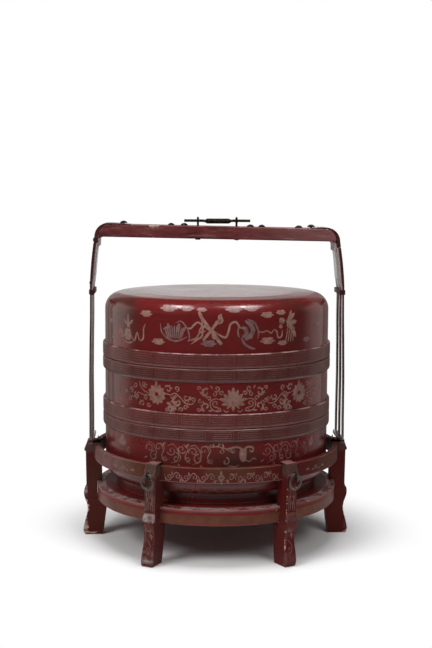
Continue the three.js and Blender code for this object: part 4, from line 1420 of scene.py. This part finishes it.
class BASKET_OT_legs(BasketPart, bpy.types.Operator):
    """Saws one leg from its side view, rounds it and sets six of them round the hoop"""

    bl_idname = "basket.legs"
    bl_label = "Legs"

    # The leg's front from toe to head, as distance from the basket's axis and height in mm
    FACE = [(239.3, 2), (241, 8), (240.4, 14), (238.2, 24), (235.4, 33), (233.3, 43), (233, 50), (234.4, 58), (237, 65), (239, 71),
            (239.8, 77), (239.4, 82), (238.4, 85.5), (236.0, 88), (235.2, 94), (235.3, 104), (235.6, 120), (235.9, 150),
            (236.1, 154), (238.4, 155.5), (238.7, 158), (236.4, 163), (233.4, 172), (232.3, 174)]

    def execute(self, context):
        back = HOOP_RADIUS / MM + 0.3
        shelf = back - 12.8
        seat = BASE_RADIUS / MM + 0.3
        outline = [
            (206, 0), (214, 0), (222, 0), (230, 0), (237.4, 0), *self.FACE, (211.6, 174), (211.3, 173.6), (211.3, 170.3),
            (back, 170.3), (back, 160), (back, 150), (back, 143.7), (shelf, 143.7), (shelf, 135), (shelf, 120), (shelf, 108),
            (shelf, 99.3), (seat, 99.3), (seat, 90), (seat, 80), (seat, 72), (seat - 1, 71), (198.3, 71), (197.7, 70), (198.2, 58),
            (200, 42), (202.6, 22), (204.8, 6),
        ]
        leg = board("leg_wood", [(x * MM, z * MM) for x, z in outline], 20 * MM, 4 * MM)
        points = sharp_points(leg)
        bevelled(leg, 1.5 * MM)
        sliced(leg, 3 * MM)
        mark_edges(leg, points, 0.0013)
        chips = {
            "front_right": [((235.8, -9.8, z), 2.8) for z in (131, 119, 115, 108, 97, 92, 79)]
            + [((234.4, -9.8, z), 3.3) for z in (60, 45, 41, 37, 33, 29, 16, 4)] + [((222, -10, 96), 3)],
            "front_left": [((238, 9.5, 84), 3), ((239, 9.5, 78), 2.6), ((238, 9.5, 70), 1.8), ((238, 9.5, 22), 2.4), ((240, 9.5, 12), 2.4)],
            "left": [((236, 10, 62), 6), ((233, 10, 54), 6), ((233, 9, 46), 5), ((236, 9, 30), 4), ((239, 10, 14), 7), ((238, 8, 4), 6),
                     ((230, 10, 6), 5), ((222, 10, 4), 5)],
            "right": [((241, -10, 6), 3.4), ((238, -10, 2), 4), ((240, -9, 14), 2.4), ((228, -10, 1), 3)],
            "back_left": [((239, 9.5, 76), 2.4), ((236, -9.5, 30), 2.4)], "back_right": [((236, 9.5, 60), 2.4), ((241, -9.5, 8), 3)],
        }
        lines = self.front_lines()
        for name, turn in LEG_TURNS.items():
            twin = copied(leg, f"leg_{name}_wood", 0)
            chip(twin, *chips[name])
            self.lean(twin, name)
            twin = self.turned_to(twin, turn)
            finished(twin, leg_lacquer(), "stand", "stand", f"leg_{name}")
            painted = copied(lines, f"leg_{name}_lines", 0)
            self.lean(painted, name)
            painted = self.turned_to(painted, turn)
            finished(painted, fret_paint(), "stand", "stand")
        for pattern in (leg, lines):
            bpy.data.objects.remove(pattern)
        return {"FINISHED"}

    def lean(self, piece, name):
        """The feet of the two front legs stand a little to the left of their heads"""
        foot = {"front_left": -5, "front_right": -4.4}.get(name, 0) * MM
        if foot:
            reshape(piece, lambda x, y, z: (x, y + foot * max(0, 1 - z / (140 * MM)), z))

    def turned_to(self, piece, turn):
        clear_selection()
        piece.select_set(True)
        bpy.context.view_layer.objects.active = piece
        bpy.ops.object.mode_set(mode="EDIT")
        bpy.ops.mesh.select_all(action="SELECT")
        bpy.ops.transform.rotate(value=-math.radians(turn), orient_axis="Z", center_override=(0, 0, 0))
        bpy.ops.object.mode_set(mode="OBJECT")
        return piece

    def front_lines(self):
        """Thin lines and curls down the leg's front, laid on its curve"""
        strokes = [
            stroke([(-6.2, z) for z in range(94, 142, 4)], 0.3), stroke([(6.2, z) for z in range(94, 142, 4)], 0.3),
            line((-3.5, 138), (-2.5, 126), (-4, 114), (-2, 104), (-3.5, 95), width=0.45), line((3.5, 136), (2, 124), (4, 112), (2.5, 100), (3.6, 94), width=0.45),
            stroke([(-6, 128), (-2, 128), (2, 128), (6, 128)], 0.3), stroke([(-6, 118), (0, 118), (6, 118)], 0.3),
            curl(0, 133, 3, 90, 380, 0.4), curl(0, 108, 3, 270, 380, 0.4), stroke([(-7, 91), (0, 90.5), (7, 91)], 0.4),
            stroke([(-7, z) for z in range(38, 66, 4)], 0.3), curl(-2, 62, 4, 90, 380, 0.45), curl(3, 52, 3.4, 270, 380, 0.4),
            line((-5, 46), (0, 41), (4, 34), (2, 26), (-4, 22), width=0.45), line((5, 66), (2, 58), (5, 46), width=0.4),
            curl(-1, 30, 3.6, 0, 380, 0.4), stroke([(-4, 146), (0, 147), (4, 146)], 0.3),
        ]
        piece = paint("leg_lines", strokes, 0, None, None, None, 0.3, 0)
        heights = [(z * MM, x * MM) for x, z in self.FACE]
        reshape(piece, lambda x, y, z: (along(heights, z) + 0.05 * MM - y, x, z))
        clear_selection()
        piece.select_set(True)
        bpy.context.view_layer.objects.active = piece
        bpy.ops.object.mode_set(mode="EDIT")
        tidy()
        bpy.ops.object.mode_set(mode="OBJECT")
        return piece


class BASKET_OT_handle(BasketPart, bpy.types.Operator):
    """Shapes the bar, the strips bent over its corners, and the uprights that split into rods"""

    bl_idname = "basket.handle"
    bl_label = "Handle"

    # Outer face of an upright, as height and distance from the middle in mm
    REACH = [(181, 227.2), (217, 227), (288, 227.2), (360, 226.2), (395, 225.4), (440, 225.1), (456, 225.4), (473, 224.4),
             (483, 223.6), (494, 222.7), (505, 221.6), (515, 220.3), (528, 218.6)]
    THICKNESS = [(181, 3.8), (440, 4), (456, 6), (470, 7.6), (528, 8)]

    def execute(self, context):
        self.add_bar()
        for side, sign in SIDES.items():
            self.add_strip(side, sign, 152 if side == "left" else 166)
            self.add_upright(side, sign)
            self.add_collar(side, sign)
            self.add_rail(side, sign)
        return {"FINISHED"}

    def lean(self, piece):
        """The bar's left end is a little higher than its right"""
        reshape(piece, lambda x, y, z: (x, y, z + BAR_SLOPE * x * min(1, max(0, (z / MM - 450) / 70))))

    def add_bar(self):
        end = BAR_REACH / MM - 8.2
        half = [(0, 537.6), *((x, 537.6) for x in range(20, 195, 20)), *arc(end - 8.5, 531, 6.6, 90, 10, 5), (end - 1.6, 521),
                (end, 520), (end, 530), *arc(end - 20, 540, 20, 0, 90, 8), *((x, 560) for x in range(180, 0, -20))]
        outline = half + [(0, 560)] + [(-x, z) for x, z in reversed(half[1:])]
        bar = board("handle_bar_wood", [(x * MM, z * MM) for x, z in outline], BAR_DEPTH)
        points = sharp_points(bar, 50)
        rim = BAR_DEPTH / 2 - 0.1 * MM
        pick(bar, "EDGE", lambda edge: all(abs(v.co.y) > rim and (abs(v.co.x) < BAR_REACH - 0.0125 or v.co.z > 0.5395) for v in edge.verts))
        bpy.ops.mesh.bevel(offset=1.8 * MM, segments=3, clamp_overlap=False)
        for axis, places in ((1, (-28.6, -26, 26, 28.6)), (2, (540, 543, 554, 557.6))):
            cut_across(axis, places)
        sliced(bar, 4 * MM, 0)
        mark_edges(bar, points, 0.0014)
        chip(bar, ((-113, -31, 559), 6), ((-106, -31, 559.5), 5), ((-119, -31, 558.5), 4), ((-114, -31, 538), 4),
             ((-60, -31, 538), 1.8), ((40, -31, 560), 2.2), ((150, -31, 538), 1.8), ((95, 31, 560), 4), ((-30, 31, 538), 3))
        self.lean(bar)
        finished(bar, bar_lacquer(), "stand", "handle", "handle_bar")

    def add_strip(self, side, sign, tip):
        """The strip that comes up from the upright, over the corner, and thins out on the bar"""
        reach = BAR_REACH / MM
        outer = [(tip, 560.5), (tip + 10, 561.2), (178, 562), (186, 562.3), *arc(reach - 26, 537.6, 24.6, 84, 0, 9),
                 (reach - 0.6, 532), (reach, 527.6)]
        inner = [(reach - 8, 527.6), (reach - 8, 533), *arc(reach - 28.2, 540, 20.2, 0, 90, 8), (178, 560.1), (tip + 10, 559.9),
                 (tip, 559.7)]
        strip = board(f"corner_strip_{side}", [(sign * x * MM, z * MM) for x, z in outer + inner], BAR_DEPTH - 0.6 * MM)
        points = sharp_points(strip, 45)
        bevelled(strip, 0.7 * MM, 2, 45)
        sliced(strip, 6 * MM, 1)
        mark_edges(strip, points, 0.0014)
        self.lean(strip)
        finished(strip, upright_lacquer(), "stand", "handle")

    def add_upright(self, side, sign):
        """A board with two slots, whose three tines run down as the rods"""
        slot = lambda y: [(y + 6, 449), (y + 3.2, 458), (y, 466), (y - 3.2, 458), (y - 6, 449)]
        half = [(31, 527), (32.6, 490), (34.3, 449), (34.6, 440), (44.6, 181.6), (38.4, 181.6), (28.4, 440), *slot(15.8),
                (3.3, 440), (3.3, 181.6)]
        outline = half + [(-y, z) for y, z in reversed(half)]
        piece = board(f"upright_{side}", [(y * MM, z * MM) for y, z in outline], 1.0)
        sliced(piece, 9 * MM)

        def place(y, depth, z):
            height = z / MM
            outer = along(self.REACH, height)
            x = outer if depth > 0 else outer - along(self.THICKNESS, height)
            return sign * x * MM, y, z

        reshape(piece, place)
        bpy.ops.object.mode_set(mode="EDIT")
        tidy()
        bpy.ops.object.mode_set(mode="OBJECT")
        points = sharp_points(piece, 45, 0.0005)
        bevelled(piece, 0.8 * MM, 2, 45)
        mark_edges(piece, points, 0.001)
        inner = [(along(self.REACH, v.co.z / MM) - abs(v.co.x) / MM) / along(self.THICKNESS, v.co.z / MM) for v in piece.data.vertices]
        piece.data.attributes.new("inner", "FLOAT", "POINT").data.foreach_set("value", inner)
        self.lean(piece)
        nodes = [f"plank_{side}", *(f"rod_{side}_{row}" for row in ("front", "middle", "back"))]
        finished(piece, upright_lacquer(), "stand", "handle", *nodes)

    def add_collar(self, side, sign):
        lowest, highest = low(f"collar_{side}"), high(f"collar_{side}")
        outline = [(lowest.x, lowest.z), (highest.x, lowest.z), (highest.x, highest.z), (lowest.x, highest.z)]
        collar = board(f"collar_{side}_wood", outline, highest.y - lowest.y)
        mark_after(collar, 0.001, 1.1 * MM)
        dark = darker(colours().handle, 0.3)
        finish = finish_of("collar_lacquer", lacquer_finish, dark, darker(dark, 0.6), 0.5, 0.05, 0.15, shine=0.25)
        finished(collar, finish, "stand", "handle", f"collar_{side}")

    def add_rail(self, side, sign):
        lowest, highest = low(f"foot_rail_{side}"), high(f"foot_rail_{side}")
        outline = [(lowest.x, lowest.z), (highest.x, lowest.z), (highest.x, highest.z), (lowest.x, highest.z)]
        rail = board(f"foot_rail_{side}_wood", outline, highest.y - lowest.y)
        mark_after(rail, 0.001, 1.2 * MM)
        finished(rail, upright_lacquer(), "stand", "handle", f"foot_rail_{side}")


class BASKET_OT_fittings(BasketPart, bpy.types.Operator):
    """Makes the nails and the hanging rings, and finishes the eyes and the bail"""

    bl_idname = "basket.fittings"
    bl_label = "Iron fittings"

    def execute(self, context):
        for node in frame["nodes"]:
            if "eye" in node or node == "bail":
                repaint(node, aged_iron())
        self.add_nails()
        self.add_rings()
        return {"FINISHED"}

    def add_nails(self):
        """Round heads, forged by hand: each one is a little different"""
        dome = [(0, 4.5), (2.3, 4.2), (4.3, 3.3), (6, 1.8), (6.7, 0.4), (6.5, 0), (1.5, -0.2), (1.5, -8), (0, -8)]
        head = turned("nail", [(x * MM, z * MM) for x, z in dome], 32)
        bpy.ops.object.mode_set(mode="OBJECT")
        draws = random.Random(3)
        for n in range(1, 8):
            node = f"bar_nail_{n}"
            x = (low(node).x + high(node).x) / 2
            on_strip = 1.9 * MM if abs(x) > 0.155 else 0
            height = BAR_TOP + BAR_SLOPE * x + on_strip
            nail = copied(head, node + "_head", 0, (x, draws.uniform(-4, 4) * MM, height))
            self.hammer(nail, draws, (x, 0, height))
            finished(nail, aged_iron(), "stand", "iron", node, smooth=60)
        for side, sign in SIDES.items():
            for kind, x, z in (("corner", BAR_REACH / MM, 531), ("plank", 225.2, 454)):
                node = f"{kind}_nail_{side}"
                nail = copied(head, node + "_head", 0)
                size = 0.66
                reshape(nail, lambda a, b, c: (sign * (x * MM + c * size), b * size, z * MM + a * size + sign * x * BAR_SLOPE * MM))
                clear_selection()
                nail.select_set(True)
                bpy.context.view_layer.objects.active = nail
                bpy.ops.object.mode_set(mode="EDIT")
                tidy()
                finished(nail, aged_iron(), "stand", "iron", node, smooth=60)
        bpy.data.objects.remove(head)
        bulge = turned("clinch", [(x * MM, z * MM) for x, z in ((0, -1.9), (2.2, -1.7), (4, -0.9), (4.7, 0.3), (0, 0.3))], 24)
        for side in SIDES:
            middle = (low(f"bail_eye_{side}") + high(f"bail_eye_{side}")) / 2
            place = (middle.x, -14 * MM, BAR_TOP - 22.4 * MM + BAR_SLOPE * middle.x)
            clear_selection()
            end = copied(bulge, f"clinched_end_{side}", 0, place)
            bpy.ops.transform.resize(value=(1, 2.4, 1))
            finished(end, aged_iron(), "stand", "iron", smooth=60)
        bpy.data.objects.remove(bulge)

    def hammer(self, piece, draws, centre):
        """Squashes a head a little to one side"""
        clear_selection()
        piece.select_set(True)
        bpy.context.view_layer.objects.active = piece
        bpy.ops.object.mode_set(mode="EDIT")
        bpy.ops.mesh.select_all(action="SELECT")
        scale = (draws.uniform(0.9, 1.08), draws.uniform(0.9, 1.08), draws.uniform(0.85, 1.05))
        bpy.ops.transform.resize(value=scale, center_override=centre)
        bpy.ops.transform.rotate(value=draws.uniform(-0.12, 0.12), orient_axis="Y", center_override=centre)
        bpy.ops.object.mode_set(mode="OBJECT")

    def add_rings(self):
        """Rings bent from a bar whose ends meet at the top"""
        place = (0.244, 0, 0.146)
        for name in RING_LEGS:
            clear_selection()
            bpy.ops.mesh.primitive_torus_add(
                major_segments=72, minor_segments=16, major_radius=11.2 * MM, minor_radius=2.3 * MM, location=place,
                rotation=(0, math.pi / 2, 0),
            )
            ring = bpy.context.object
            ring.name = ring.data.name = f"hanging_ring_{name}"
            bpy.ops.object.transform_apply(location=True, rotation=True, scale=True)
            bpy.ops.object.mode_set(mode="EDIT")
            bpy.ops.mesh.select_all(action="SELECT")
            bpy.ops.transform.resize(value=(0.82, 0.97, 1.05), center_override=(0.244, 0, 0.1573))
            pick(ring, "FACE", lambda face: abs(face.calc_center_median().y - 3 * MM) < 0.5 * MM and face.calc_center_median().z > 0.15)
            bpy.ops.mesh.inset(thickness=0.2 * MM, depth=-0.25 * MM)
            bpy.ops.mesh.select_all(action="SELECT")
            bpy.ops.transform.rotate(value=-math.radians(LEG_TURNS[name]), orient_axis="Z", center_override=(0, 0, 0))
            bpy.ops.object.mode_set(mode="OBJECT")
            finished(ring, ring_metal(), f"ring_{name}", "iron", f"ring_{name}", smooth=50)


def repaint(node, material):
    """Gives a CAD node another material"""
    shown = frame["nodes"][node]
    for slot in shown.material_slots:
        slot.material = material


class BASKET_PT_panel(bpy.types.Panel):
    """Lists the steps that build the basket"""

    bl_idname = "BASKET_PT_panel"
    bl_label = "Wedding basket"
    bl_space_type = "VIEW_3D"
    bl_region_type = "UI"
    bl_category = "Basket"

    def draw(self, context):
        for settings in (sizes(), colours(), stage_settings()):
            column = self.layout.column(align=True)
            for name in settings.__annotations__:
                column.prop(settings, name)
        for part in PARTS:
            self.layout.operator(part.bl_idname)


GROUPS = {"basket_sizes": BasketSizes, "basket_colours": FinishColours, "basket_stage": StageSettings}
PARTS = (
    BASKET_OT_stage, BASKET_OT_lid, BASKET_OT_trays, BASKET_OT_bands, BASKET_OT_lid_ornament, BASKET_OT_tray_ornament,
    BASKET_OT_base, BASKET_OT_legs, BASKET_OT_handle, BASKET_OT_fittings,
)


def register():
    for group in (*GROUPS.values(), *PARTS, BASKET_PT_panel):
        bpy.utils.register_class(group)
    for name, group in GROUPS.items():
        setattr(bpy.types.Scene, name, bpy.props.PointerProperty(type=group))


def unregister():
    for name in GROUPS:
        delattr(bpy.types.Scene, name)
    for group in (BASKET_PT_panel, *reversed(PARTS), *GROUPS.values()):
        bpy.utils.unregister_class(group)


def main():
    register()
    for part in PARTS:
        family, name = part.bl_idname.split(".")
        getattr(getattr(bpy.ops, family), name)()


if __name__ == "__main__":
    main()
